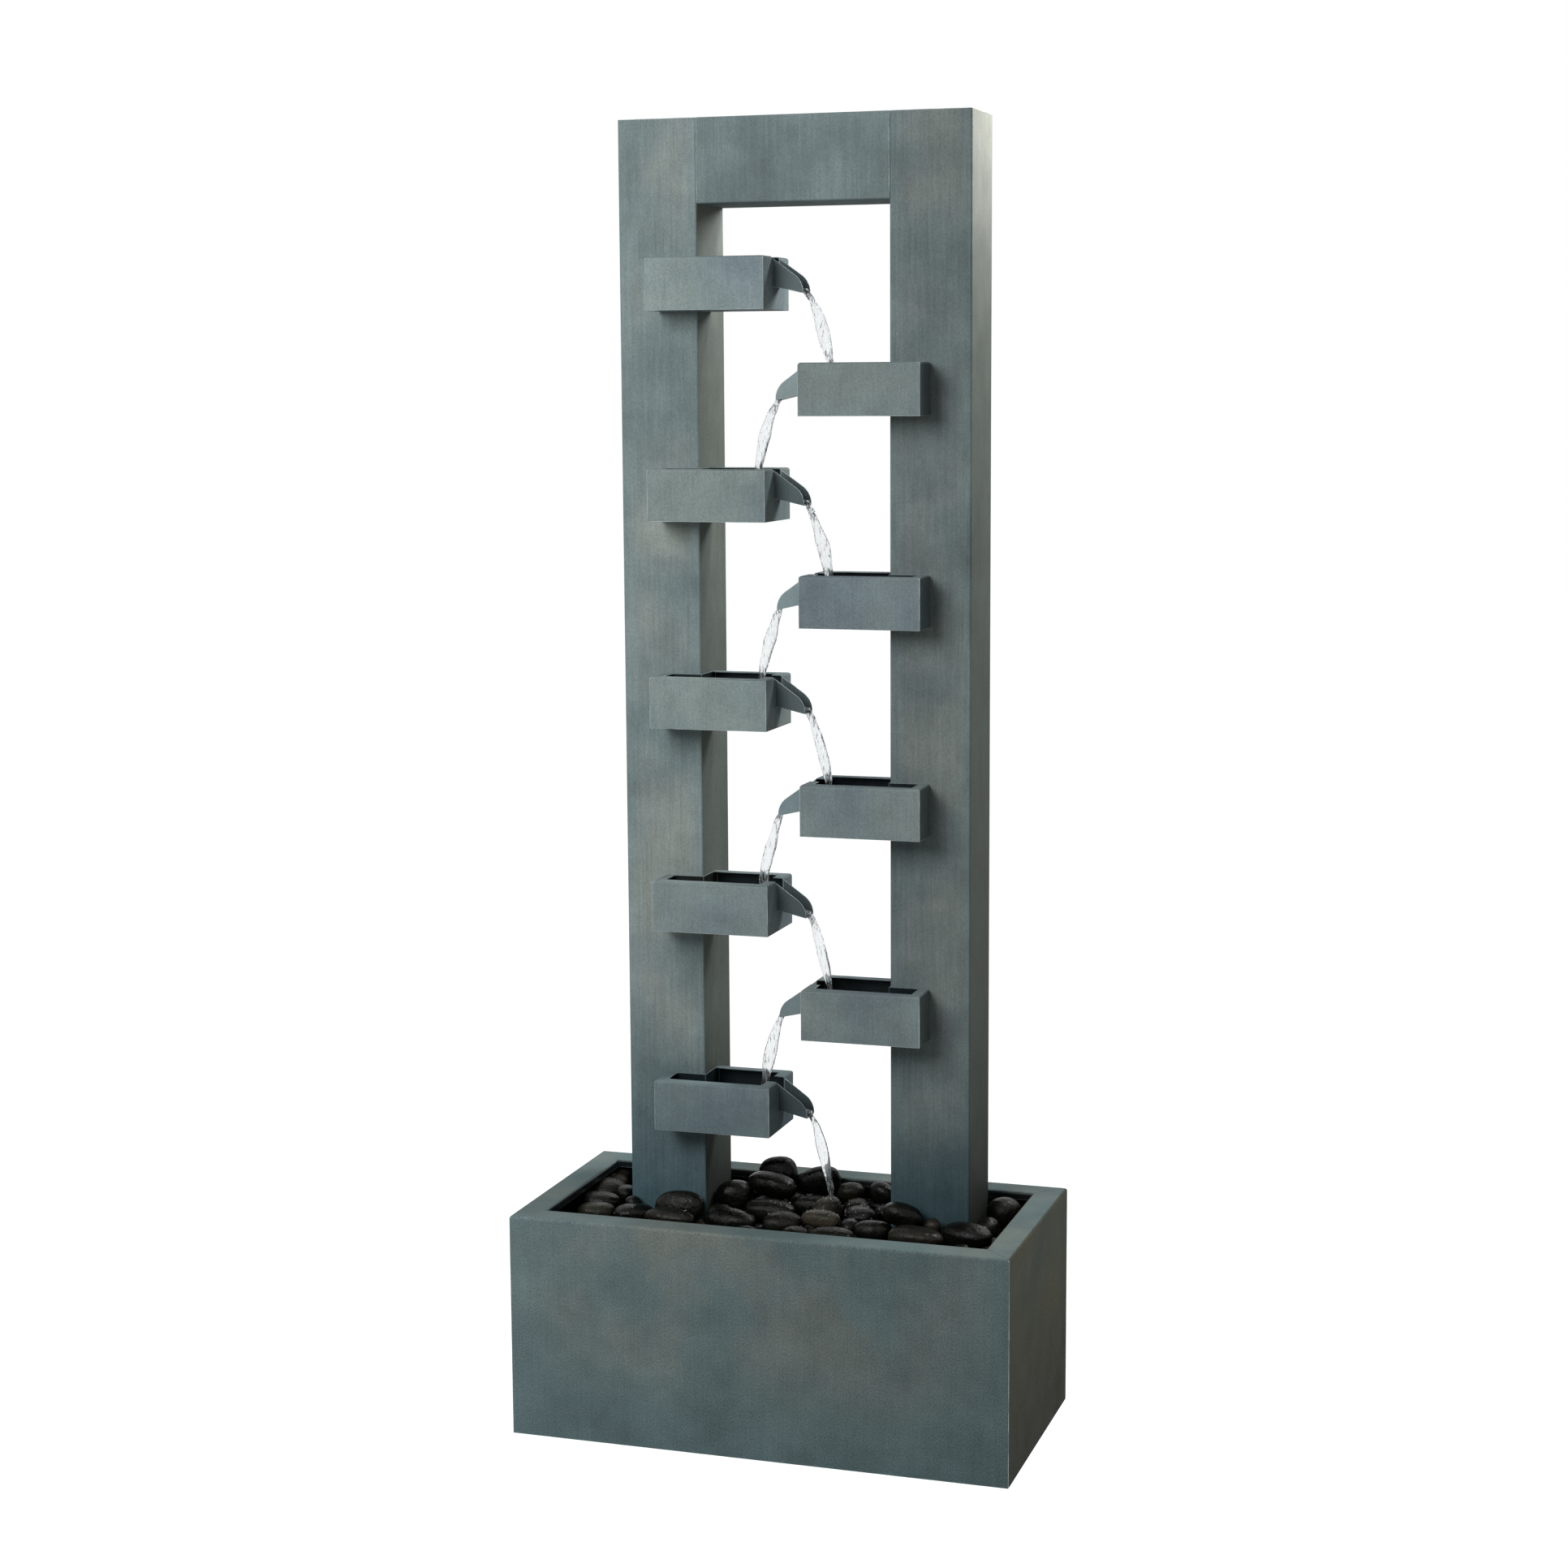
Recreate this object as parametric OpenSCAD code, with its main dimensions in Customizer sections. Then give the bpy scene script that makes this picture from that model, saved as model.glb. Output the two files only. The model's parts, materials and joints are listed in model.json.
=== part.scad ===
/* [Basin] */
// Width of the basin across its front, outside
basin_w = 498; // [440:1:620]
// Depth of the basin from front to back, outside
basin_d = 250; // [240:1:320]
// Height of the basin
basin_h = 220; // [205:1:300]
// Width of the flat rim that is turned in round the mouth
rim_w = 29; // [20:0.5:34]
// Height of the lip that is turned down along the rim's inner edge
rim_lip = 8; // [5:0.5:10]
// Thickness of the basin's and the frame's zinc-coated sheet
sheet = 1.2; // [0.8:0.1:1.8]
// Outside radius of a fold in the basin's sheet
basin_fold = 3; // [2:0.5:5]
// Height of the edge that is turned up round the basin's floor
floor_edge = 12; // [6:1:20]

/* [Frame] */
// Height of the whole fountain
total_h = 1270; // [1240:1:1400]
// Width of the frame over both posts
frame_w = 350.5; // [320:0.5:380]
// Depth of the frame
frame_d = 79; // [70:0.5:84]
// Width of one post
post_w = 79.5; // [70:0.5:90]
// Height of the beam between the posts' tops
beam_h = 81; // [50:1:84]
// Outside radius of the frame's folded edges
frame_fold = 2; // [1.9:0.1:3]
// Gap between the frame's back and the rear rim's lip
frame_gap = 0.5; // [0.3:0.1:2]

/* [Post feet] */
// Thickness of the plate that each post stands on
foot_plate = 2; // [1.5:0.5:4]
// How far the foot plate reaches out beyond the post
foot_margin = 11; // [4:1:14]
// Height of the socket that stands up inside the post
socket_h = 50; // [40:1:80]
// Thickness of the socket's walls
socket_wall = 1.5; // [1:0.1:2.5]
// Gap between the socket and the post on each side
socket_gap = 0.2; // [0.1:0.1:0.5]
// Diameter of the screws that hold a post on its socket
screw_d = 5; // [4:0.5:6]
// Distance between the two screws of a post
screw_pitch = 40; // [24:1:50]

/* [Cups] */
// Width of a cup along the front
cup_w = 119; // [104:0.5:126]
// Depth of a cup from front to back
cup_d = 79; // [66:0.5:88]
// Height of a cup
cup_h = 50; // [42:0.5:54]
// Width of the rim that is turned in round a cup's mouth
cup_rim = 11; // [7:0.5:13]
// Thickness of a cup's sheet
cup_sheet = 1; // [0.8:0.1:1.2]
// Outside radius of the fold at a cup's rim
cup_fold = 2.5; // [1.5:0.1:3]
// Distance from the centre line to a cup's inner end
cup_gap = 16.5; // [14:0.5:22]
// How far the cups stand out in front of the posts
cup_out = 38.5; // [36:0.5:46]
// Drop from the top of the frame to the first cup's rim
first_drop = 132; // [125:1:145]
// Clearance between the last cup and the basin's rim
last_cup_gap = 68; // [60:1:80]

/* [Spouts] */
// Width of a spout over its cheeks
spout_w = 24; // [18:0.5:30]
// How far a spout reaches out from its cup's wall
spout_reach = 30.5; // [24:0.5:32]
// Thickness of a spout's sheet
spout_sheet = 1; // [0.8:0.1:1.5]
// Drop from the cup's rim to the cheeks' top at the wall
cheek_drop = 1.5; // [0.5:0.5:4]
// Slope of the cheeks' top edge, in degrees
cheek_slope = 35.5; // [32:0.5:38]
// Radius of the cheeks' rounded nose
nose_r = 20; // [12:0.5:20]
// Drop from the cup's rim to the spout's underside at the wall
root_drop = 28; // [26:0.5:31]
// Drop from the cup's rim to the spout's underside at the tip
tip_drop = 35; // [34.5:0.5:38]

/* [Stones and their tray] */
// Height of the tray's top above the ground
tray_z = 170; // [160:1:171]
// Height of the tray's turned-down edge
tray_skirt = 13; // [8:1:16]
// Gap all round the tray, to the basin's walls and to the posts
tray_gap = 1; // [0.8:0.1:2]
// Diameter of the tray's drain holes
drain_d = 10; // [6:0.5:14]
// Distance between the tray's drain holes
drain_pitch = 30; // [26:1:40]
// Width of each leg of the angles that carry the tray
ledge_w = 12; // [10:1:15]
// Width of the largest stones
stone_w = 44; // [38:0.5:48]
// Width of the smallest full stone, as a share of the largest
stone_least = 0.84; // [0.7:0.01:0.95]
// Thickness of a stone as a share of its width
stone_flat = 0.52; // [0.45:0.01:0.56]
// Distance between stones of one layer, beyond the largest stone's width
stone_play = 3; // [2.5:0.5:5]

/* [Cord hole] */
// Diameter of the grommet's bore, through which the pump's cord leaves
cord_bore = 8; // [6:0.5:9]
// Diameter of the hole in the rear wall
cord_hole = 15; // [13:0.5:18]
// Diameter of the grommet's two flanges
grommet_d = 22; // [20:0.5:24]
// Thickness of each flange of the grommet
grommet_flange = 2.5; // [1.5:0.5:3.5]
// Distance from the centre line to the cord hole
cord_x = 190; // [170:1:200]
// Height of the cord hole above the tray
cord_rise = 22; // [20:1:24]

/* [Hose and inlet] */
// Outside diameter of the supply hose
hose_d = 16; // [14:0.5:18]
// Wall of the supply hose
hose_wall = 1.5; // [1.2:0.1:2]
// Radius of the hose's bends under the tray, on its centre line
low_bend = 40; // [34:1:44]
// Radius of the hose's bend at the inlet, on its centre line
top_bend = 36; // [28:1:38]
// Gap between the hose and the post's rear wall
hose_back_gap = 10; // [6:0.5:12]
// Depth of the inlet's axis below the first cup's rim
inlet_drop = 16; // [15:0.5:18]
// Diameter of the inlet's threaded neck
inlet_neck = 12.4; // [11:0.2:13]
// Bore of the inlet
inlet_bore = 9; // [7:0.5:9.5]
// Diameter of the inlet's flange
inlet_flange = 18; // [16:0.5:20]

/* [Pump] */
// Length of the pump's housing
pump_l = 74; // [70:1:84]
// Width of the pump's housing
pump_w = 54; // [52:1:60]
// Height of the pump's housing
pump_h = 60; // [56:1:64]
// Radius of the housing's long edges
pump_edge = 8; // [4:0.5:10]
// Height of the suction cups under the pump
sucker_h = 7; // [6:0.5:10]
// Diameter of the impeller
impeller_d = 37; // [30:0.5:38]
// Number of blades on the impeller
blade_count = 6; // [4:1:8]
// Diameter of the rotor's magnet
magnet_d = 18; // [14:0.5:19]
// Diameter of the ceramic shaft
shaft_d = 3; // [2.5:0.1:4]
// Radial clearance between the rotor and its shaft
shaft_play = 0.05; // [0.02:0.01:0.1]
// Length of the slotted intake cover
strainer_l = 28; // [24:1:34]
// Wall of the slotted intake cover
strainer_wall = 1.6; // [1.2:0.1:2.2]
// Width of the intake slots
slot_w = 2.5; // [1.5:0.1:3]
// Diameter of the dial that sets the flow
dial_d = 26; // [24:0.5:32]

/* [Hidden] */
$fn = 48;
// Overrun of a cutting shape beyond the face that it cuts
cut = 1;

// The frame stands with its back just clear of the rear rim's lip
frame_back = basin_d / 2 - rim_w - frame_gap;
frame_front = frame_back - frame_d;
post_in = frame_w / 2 - post_w;
post_mid = frame_w / 2 - post_w / 2;
post_z = sheet + foot_plate;

// The cups are spread evenly from the first one below the beam to the last one above the basin
cup_count = 9;
cup_pitch = (total_h - first_drop - cup_h - last_cup_gap - basin_h) / (cup_count - 1);

// A cup runs from its inner end near the centre line round the post's inner front corner
cup_far = cup_gap + cup_w;
cup_front = frame_front - cup_out;
cup_mid = cup_front + cup_d / 2;
function cup_top(i) = total_h - first_drop - i * cup_pitch;
function cup_side(i) = i % 2 == 0 ? -1 : 1;

zinc = [0.43, 0.48, 0.48];
zinc_dark = [0.33, 0.37, 0.38];

// Rectangle from the origin whose two upper corners are rounded
module arch(w, h, r) {
    translate([r, 0])
        square([w - 2 * r, h]);
    square([w, h - r]);
    for (x = [r, w - r])
        translate([x, h - r])
            circle(r);
}

// Rectangle about the origin with four rounded corners
module round_rect(w, d, r) {
    square([w - 2 * r, d], center = true);
    square([w, d - 2 * r], center = true);
    for (x = [-1, 1], y = [-1, 1])
        translate([x * (w / 2 - r), y * (d / 2 - r)])
            circle(r);
}

// Block from the origin whose four upper edges are folded round, mitred at the corners
module folded_block(w, d, h, r) {
    intersection() {
        translate([0, d, 0])
            rotate([90, 0, 0])
                linear_extrude(d)
                    arch(w, h, r);
        rotate([90, 0, 90])
            linear_extrude(w)
                arch(d, h, r);
    }
}

// Section of a basin wall with its turned-in rim and turned-down lip, the outer face at x = 0
module wall_section() {
    difference() {
        arch(rim_w, basin_h, basin_fold);
        translate([sheet, -cut])
            arch(rim_w - 2 * sheet, basin_h - sheet + cut, basin_fold - sheet);
        translate([rim_w - sheet - cut, -cut])
            square([sheet + 2 * cut, basin_h - rim_lip + cut]);
    }
}

// One basin wall along X with its outer face at y = 0, mitred at both ends
module basin_wall(length) {
    reach = rim_w + cut;
    intersection() {
        rotate([90, 0, 90])
            linear_extrude(length, center = true)
                wall_section();
        linear_extrude(basin_h + cut)
            polygon([[-length / 2, 0], [length / 2, 0],
                [length / 2 - reach, reach], [-length / 2 + reach, reach]]);
    }
}

module basin_front() {
    color(zinc)
        translate([0, -basin_d / 2, 0])
            basin_wall(basin_w);
}

module basin_rear() {
    color(zinc)
        difference() {
            rotate(180)
                translate([0, -basin_d / 2, 0])
                    basin_wall(basin_w);
            translate([cord_x, basin_d / 2 + cut, tray_z + cord_rise])
                rotate([90, 0, 0])
                    cylinder(h = sheet + 2 * cut, d = cord_hole);
        }
}

module basin_left_side() {
    color(zinc)
        rotate(-90)
            translate([0, -basin_w / 2, 0])
                basin_wall(basin_d);
}

module basin_right_side() {
    color(zinc)
        rotate(90)
            translate([0, -basin_w / 2, 0])
                basin_wall(basin_d);
}

// Pan that closes the basin below, its edge turned up inside the four walls
module basin_floor() {
    w = basin_w - 2 * sheet;
    d = basin_d - 2 * sheet;
    color(zinc_dark)
        difference() {
            translate([-w / 2, -d / 2, 0])
                cube([w, d, floor_edge]);
            translate([-w / 2 + sheet, -d / 2 + sheet, sheet])
                cube([w - 2 * sheet, d - 2 * sheet, floor_edge]);
        }
}

// Rubber ring in the rear wall, grooved round the edge of the hole
module cord_grommet() {
    groove_play = 0.05;
    length = sheet + 2 * groove_play + 2 * grommet_flange;
    color("#202022")
        translate([cord_x, basin_d / 2 - sheet - groove_play - grommet_flange, tray_z + cord_rise])
            rotate([-90, 0, 0])
                difference() {
                    union() {
                        cylinder(h = grommet_flange, d = grommet_d);
                        cylinder(h = length, d = cord_hole - 2 * groove_play);
                        translate([0, 0, length - grommet_flange])
                            cylinder(h = grommet_flange, d = grommet_d);
                    }
                    translate([0, 0, -cut])
                        cylinder(h = length + 2 * cut, d = cord_bore);
                }
}

// Angle along a basin wall, its level leg under the tray's edge
module tray_ledge() {
    length = basin_w - 2 * sheet - 2 * ledge_w;
    top = tray_z - tray_skirt;
    translate([-length / 2, -basin_d / 2 + sheet, top - ledge_w])
        difference() {
            cube([length, ledge_w, ledge_w]);
            translate([-cut, sheet, -sheet])
                cube([length + 2 * cut, ledge_w, ledge_w]);
        }
}

module tray_ledge_front() {
    color(zinc_dark)
        tray_ledge();
}

module tray_ledge_rear() {
    color(zinc_dark)
        rotate(180)
            tray_ledge();
}

// Footprint of one post at side s, widened by a margin
module post_plan(s, margin) {
    translate([s * post_mid - post_w / 2 - margin, frame_front - margin])
        square([post_w + 2 * margin, frame_d + 2 * margin]);
}

// Distance from a point to the nearer post's footprint
function post_distance(x, y) =
    let (dx = abs(abs(x) - post_mid) - post_w / 2,
        dy = abs(y - frame_front - frame_d / 2) - frame_d / 2)
    norm([max(dx, 0), max(dy, 0)]) + min(max(dx, dy), 0);

// Perforated tray with a turned-down edge, cut out round the posts and for the pump's cord
drain_margin = 6;
module stone_tray() {
    w = basin_w - 2 * sheet - 2 * tray_gap;
    d = basin_d - 2 * sheet - 2 * tray_gap;
    edge = drain_d / 2 + drain_margin;
    nx = floor((w / 2 - edge) / drain_pitch);
    ny = floor((d / 2 - edge) / drain_pitch);
    slot = 2 * cord_bore;
    color(zinc_dark)
        difference() {
            translate([-w / 2, -d / 2, tray_z - tray_skirt])
                cube([w, d, tray_skirt]);
            translate([-w / 2 + sheet, -d / 2 + sheet, tray_z - tray_skirt - sheet])
                cube([w - 2 * sheet, d - 2 * sheet, tray_skirt]);
            for (i = [-nx:nx], j = [-ny:ny]) {
                x = i * drain_pitch;
                y = j * drain_pitch;
                if (post_distance(x, y) > edge && norm([x - cord_x, y - d / 2]) > slot + edge)
                    translate([x, y, tray_z - sheet - cut])
                        cylinder(h = sheet + 2 * cut, d = drain_d);
            }
            for (s = [-1, 1])
                translate([0, 0, tray_z - sheet - cut])
                    linear_extrude(sheet + 2 * cut)
                        post_plan(s, tray_gap);
            translate([cord_x - slot / 2, d / 2 - slot, tray_z - sheet - cut])
                cube([slot, slot + cut, sheet + 2 * cut]);
        }
}

// Stones lie in staggered rows, each layer in the hollows of the one below. A stone is [x, y, z, r].
// All have the same flatness, so two of them touch where their centres lie on an ellipsoid that
// measures the sum of their radii, and that gives the height at which a stone comes to rest.
stone_gap = stone_play / 12;
stone_step = stone_w + stone_play;
stone_row = stone_step * sqrt(3) / 2;
stone_shift = (stone_play - stone_gap) / 4;
least_r = stone_w / 2 * 0.6;
half_w = basin_w / 2 - sheet;
half_d = basin_d / 2 - sheet;
stone_cols = floor((2 * half_w - stone_w) / stone_step);
stone_rows = floor((2 * half_d - stone_w) / stone_row);

// Numbers from 0 to 1 that differ from stone to stone, the same each time
function noise(i, j, seed) = rands(0, 1, 1, seed * 7919 + (i + 40) * 101 + j * 13)[0];

// Largest radius that stays clear of the posts and of walls at half widths w and d
function free_r(x, y, w, d) = min(w - abs(x), d - abs(y), post_distance(x, y)) - stone_gap;

// Height at which a stone of radius r over x, y rests on the stones below, or on the tray
function rest_z(x, y, r, below) = max([tray_z + stone_flat * r,
    for (s = below)
        let (sum = r + s[3] + stone_gap, d = norm([x - s[0], y - s[1]]))
        if (d < sum) s[2] + stone_flat * sqrt(sum * sum - d * d)]);

// One layer, its rows shifted by a share of the step, within half widths w and d
function layer(seed, dx, dy, w, d, below) = [
    for (j = [-1:stone_rows + 1], i = [-1:stone_cols + 1])
        let (turn = 360 * noise(i, j, seed),
            stagger = j % 2 == 0 ? 0 : 0.5,
            x = (i - stone_cols / 2 + dx + stagger - 0.25) * stone_step + stone_shift * cos(turn),
            y = (j - stone_rows / 2 + dy) * stone_row + stone_shift * sin(turn),
            full = stone_w / 2 * (stone_least + (1 - stone_least) * noise(i, j, seed + 1)),
            r = min(full, free_r(x, y, w, d)))
        if (r >= least_r) [x, y, rest_z(x, y, r, below), r]];

lower_layer = layer(1, 0, 0, half_w, half_d, []);
upper_layer = layer(3, 0.5, 1 / 3, half_w, half_d, lower_layer);
// The crown is heaped between the posts, inside the rim's lip: one layer, and a row on its back
function stones_behind(y, stones) = [for (s = stones) if (s[1] > y) s];
bed = concat(lower_layer, upper_layer);
crown_low = stones_behind(frame_front, layer(5, 0, 0, post_in, frame_back, bed));
crown_all = layer(6, 0.5, 1 / 3, post_in, frame_back, concat(bed, crown_low));
crown_high = stones_behind(frame_front + frame_d / 2, crown_all);
crown_layer = concat(crown_low, crown_high);

// River stone of revolution: two wide domes that meet in a rounded rim
module stone(s) {
    r = s[3];
    half_t = r * stone_flat;
    rim_r = half_t * 0.6;
    rim_x = r - rim_r;
    dome_r = (rim_x * rim_x + half_t * half_t - rim_r * rim_r) / (2 * (half_t - rim_r));
    translate([s[0], s[1], s[2]])
        rotate_extrude()
            union() {
                intersection() {
                    translate([0, half_t - dome_r])
                        circle(dome_r);
                    translate([0, dome_r - half_t])
                        circle(dome_r);
                    translate([0, -half_t])
                        square([dome_r * rim_x / (dome_r - rim_r), 2 * half_t]);
                }
                translate([rim_x, 0])
                    circle(rim_r);
            }
}

module stones_lower() {
    color("#1d1c1b")
        for (s = lower_layer)
            stone(s);
}

module stones_upper() {
    color("#262422")
        for (s = upper_layer)
            stone(s);
}

module stones_crown() {
    color("#2e2b28")
        for (s = crown_layer)
            stone(s);
}

// Screws of the post at side s, each placed on the post's rear face and pointing forwards
module at_screws(s) {
    for (x = [-1, 1])
        translate([s * post_mid + x * screw_pitch / 2, frame_back, post_z + socket_h / 2])
            rotate([90, 0, 0])
                children();
}

screw_hole = screw_d + 0.2;
module post(s) {
    difference() {
        translate([s * post_mid, frame_front + frame_d / 2, post_z])
            linear_extrude(total_h - post_z)
                round_rect(post_w, frame_d, frame_fold);
        translate([s * post_mid, frame_front + frame_d / 2, post_z - cut])
            linear_extrude(total_h - post_z - sheet + cut)
                round_rect(post_w - 2 * sheet, frame_d - 2 * sheet, frame_fold - sheet);
        at_screws(s)
            translate([0, 0, -cut])
                cylinder(h = sheet + 2 * cut, d = screw_hole);
    }
}

// The hose runs from the pump up through the left post to the first cup
inlet_x = -(post_in + cup_far) / 2;
inlet_z = cup_top(0) - inlet_drop;
hose_y = frame_back - sheet - hose_back_gap - hose_d / 2;
pump_axis = sheet + sucker_h + pump_h / 2;
boss_h = 4;
collar_h = 3;
barb_l = 18;
hose_start = pump_axis + pump_h / 2 + boss_h + collar_h;
hose_level = hose_start + barb_l + low_bend;
slot_turn = asin((abs(inlet_x) - post_in) / low_bend);
slot_z = hose_level + low_bend * (1 - cos(slot_turn));
slot_play = 3;

module left_post() {
    hose_slot_w = hose_d + 2 * slot_play;
    hose_slot_h = hose_d / cos(slot_turn) + 3 * slot_play;
    color(zinc)
        difference() {
            post(-1);
            translate([-post_in - sheet - cut, hose_y - hose_slot_w / 2, slot_z - hose_slot_h / 2])
                cube([sheet + 2 * cut, hose_slot_w, hose_slot_h]);
            translate([inlet_x, frame_front - cut, inlet_z])
                rotate([-90, 0, 0])
                    cylinder(h = sheet + 2 * cut, d = inlet_neck + 0.2);
        }
}

module right_post() {
    color(zinc)
        post(1);
}

module top_beam() {
    length = 2 * post_in;
    color(zinc)
        translate([-length / 2, frame_front + frame_d / 2, total_h - beam_h / 2])
            rotate([90, 0, 90])
                linear_extrude(length)
                    difference() {
                        round_rect(frame_d, beam_h, frame_fold);
                        round_rect(frame_d - 2 * sheet, beam_h - 2 * sheet, frame_fold - sheet);
                    }
}

// Plate on the basin's floor with a square socket that stands up inside the post
module post_socket(s) {
    w = post_w - 2 * sheet - 2 * socket_gap;
    d = frame_d - 2 * sheet - 2 * socket_gap;
    corner = frame_fold + socket_wall;
    difference() {
        union() {
            translate([0, 0, sheet])
                linear_extrude(foot_plate)
                    post_plan(s, foot_margin);
            translate([s * post_mid, frame_front + frame_d / 2, post_z])
                linear_extrude(socket_h)
                    round_rect(w, d, corner);
        }
        translate([s * post_mid, frame_front + frame_d / 2, post_z])
            linear_extrude(socket_h + cut)
                round_rect(w - 2 * socket_wall, d - 2 * socket_wall, corner - socket_wall);
        at_screws(s)
            cylinder(h = sheet + socket_gap + socket_wall + cut, d = screw_hole);
    }
}

module left_post_socket() {
    color(zinc_dark)
        post_socket(-1);
}

module right_post_socket() {
    color(zinc_dark)
        post_socket(1);
}

// Four pan-head screws through the posts' rear walls into the sockets
module post_screws() {
    head_h = screw_d * 0.6;
    length = sheet + socket_gap + socket_wall + 1.2 * screw_d;
    color("silver")
        for (s = [-1, 1])
            at_screws(s)
                difference() {
                    union() {
                        cylinder(h = length, d = screw_d);
                        translate([0, 0, -head_h])
                            cylinder(h = head_h, d = screw_d * 2);
                    }
                    translate([-screw_d * 0.7, -screw_d * 0.1, -head_h - cut])
                        cube([screw_d * 1.4, screw_d * 0.2, head_h / 2 + cut]);
                    translate([-screw_d * 0.1, -screw_d * 0.7, -head_h - cut])
                        cube([screw_d * 0.2, screw_d * 1.4, head_h / 2 + cut]);
                }
}

// Folded cup of number i, notched round the post's corner and open where its spout leaves
module cup(i) {
    inner_w = spout_w - 2 * spout_sheet;
    floor_slope = atan((tip_drop - root_drop) / spout_reach);
    notch_z = cup_h - root_drop + spout_sheet / cos(floor_slope);
    post_side = post_in - cup_gap;
    translate([0, 0, cup_top(i) - cup_h])
        mirror([cup_side(i) < 0 ? 1 : 0, 0, 0])
            translate([cup_gap, cup_front, 0])
                difference() {
                    folded_block(cup_w, cup_d, cup_h, cup_fold);
                    translate([post_side, cup_out, -cut])
                        cube([cup_w, cup_d, cup_h + 2 * cut]);
                    difference() {
                        union() {
                            translate([cup_sheet, cup_sheet, cup_sheet])
                                folded_block(cup_w - 2 * cup_sheet, cup_d - 2 * cup_sheet,
                                    cup_h - 2 * cup_sheet, cup_fold - cup_sheet);
                            translate([cup_rim, cup_rim, cup_h / 2])
                                cube([cup_w - 2 * cup_rim, cup_d - 2 * cup_rim, cup_h]);
                        }
                        translate([post_side - cup_sheet, cup_out - cup_sheet, 0])
                            cube([cup_w, cup_d, 2 * cup_h]);
                    }
                    translate([-cut, cup_d / 2 - inner_w / 2, notch_z])
                        cube([cup_rim + 2 * cut, inner_w, cup_h]);
                }
}

// The first cup is also drilled for the water inlet
module first_cup() {
    difference() {
        cup(0);
        translate([inlet_x, frame_front - cup_sheet - cut, inlet_z])
            rotate([-90, 0, 0])
                cylinder(h = cup_sheet + 2 * cut, d = inlet_neck + 0.2);
    }
}

// Outline of a spout's cheek: x out from the cup's wall, y up from the cup's rim
function cheek_outline() =
    let (corner_y = -cheek_drop - spout_reach * tan(cheek_slope),
        centre_x = spout_reach - nose_r,
        run = nose_r * tan((90 - cheek_slope) / 2),
        centre_y = corner_y - run,
        steps = 10)
    concat([[0, -cheek_drop]],
        [for (k = [0:steps])
            let (a = (90 - cheek_slope) * (1 - k / steps))
            [centre_x + nose_r * cos(a), max(centre_y + nose_r * sin(a), spout_sheet / 2 - tip_drop)]],
        [[spout_reach, -tip_drop], [0, -root_drop]]);

// Chute of two cheeks and a sloping floor, soldered to the wall below the notch in the rim
module spout(i) {
    inner_w = spout_w - 2 * spout_sheet;
    floor_slope = atan((tip_drop - root_drop) / spout_reach);
    lift = spout_sheet / cos(floor_slope);
    fall = tan(floor_slope);
    over = spout_reach + cut;
    translate([0, cup_mid, cup_top(i)])
        mirror([cup_side(i) > 0 ? 1 : 0, 0, 0])
            translate([-cup_gap, 0, 0])
                rotate([90, 0, 0])
                    difference() {
                        linear_extrude(spout_w, center = true)
                            polygon(cheek_outline());
                        linear_extrude(inner_w, center = true)
                            polygon([[-cut, lift - root_drop + cut * fall],
                                [over, lift - root_drop - over * fall],
                                [over, cut], [-cut, cut]]);
                    }
}

// Brass nipple through the post's front wall into the first cup, its barb inside the post
washer_t = 1.5;
nut_t = 5;
inlet_flange_t = 3;
inlet_mouth = 8;
module along_inlet() {
    translate([inlet_x, frame_front, inlet_z])
        rotate([-90, 0, 0])
            children();
}

module inlet_nipple() {
    seat = -cup_sheet - washer_t;
    barb_start = sheet + nut_t + 1;
    barb_r = hose_d / 2 - hose_wall - 0.1;
    color("#b08d4a")
        along_inlet()
            difference() {
                union() {
                    translate([0, 0, seat - inlet_flange_t - inlet_mouth])
                        cylinder(h = inlet_mouth, d = inlet_neck);
                    translate([0, 0, seat - inlet_flange_t])
                        cylinder(h = inlet_flange_t, d = inlet_flange);
                    translate([0, 0, seat])
                        cylinder(h = barb_start - seat, d = inlet_neck);
                    for (k = [0:2])
                        translate([0, 0, barb_start + k * barb_l / 3])
                            cylinder(h = barb_l / 3, r1 = barb_r, r2 = barb_r - 0.8);
                }
                translate([0, 0, seat - inlet_flange_t - inlet_mouth - cut])
                    cylinder(h = 2 * barb_l + inlet_mouth + barb_start, d = inlet_bore);
            }
}

module inlet_washer() {
    color("#202022")
        along_inlet()
            translate([0, 0, -cup_sheet - washer_t])
                difference() {
                    cylinder(h = washer_t, d = inlet_flange);
                    translate([0, 0, -cut])
                        cylinder(h = washer_t + 2 * cut, d = inlet_neck + 0.1);
                }
}

module inlet_nut() {
    color("#b08d4a")
        along_inlet()
            translate([0, 0, sheet])
                difference() {
                    cylinder(h = nut_t, d = inlet_neck + 8, $fn = 6);
                    translate([0, 0, -cut])
                        cylinder(h = nut_t + 2 * cut, d = inlet_neck + 0.1);
                }
}

module hose_section() {
    difference() {
        circle(d = hose_d);
        circle(d = hose_d - 2 * hose_wall);
    }
}

// Quarter bend in the X-Z plane: starts upwards at the origin and turns towards +X
module hose_bend(r) {
    translate([r, 0, 0])
        rotate([90, 0, 0])
            rotate(90)
                rotate_extrude(angle = 90)
                    translate([r, 0])
                        hose_section();
}

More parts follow.
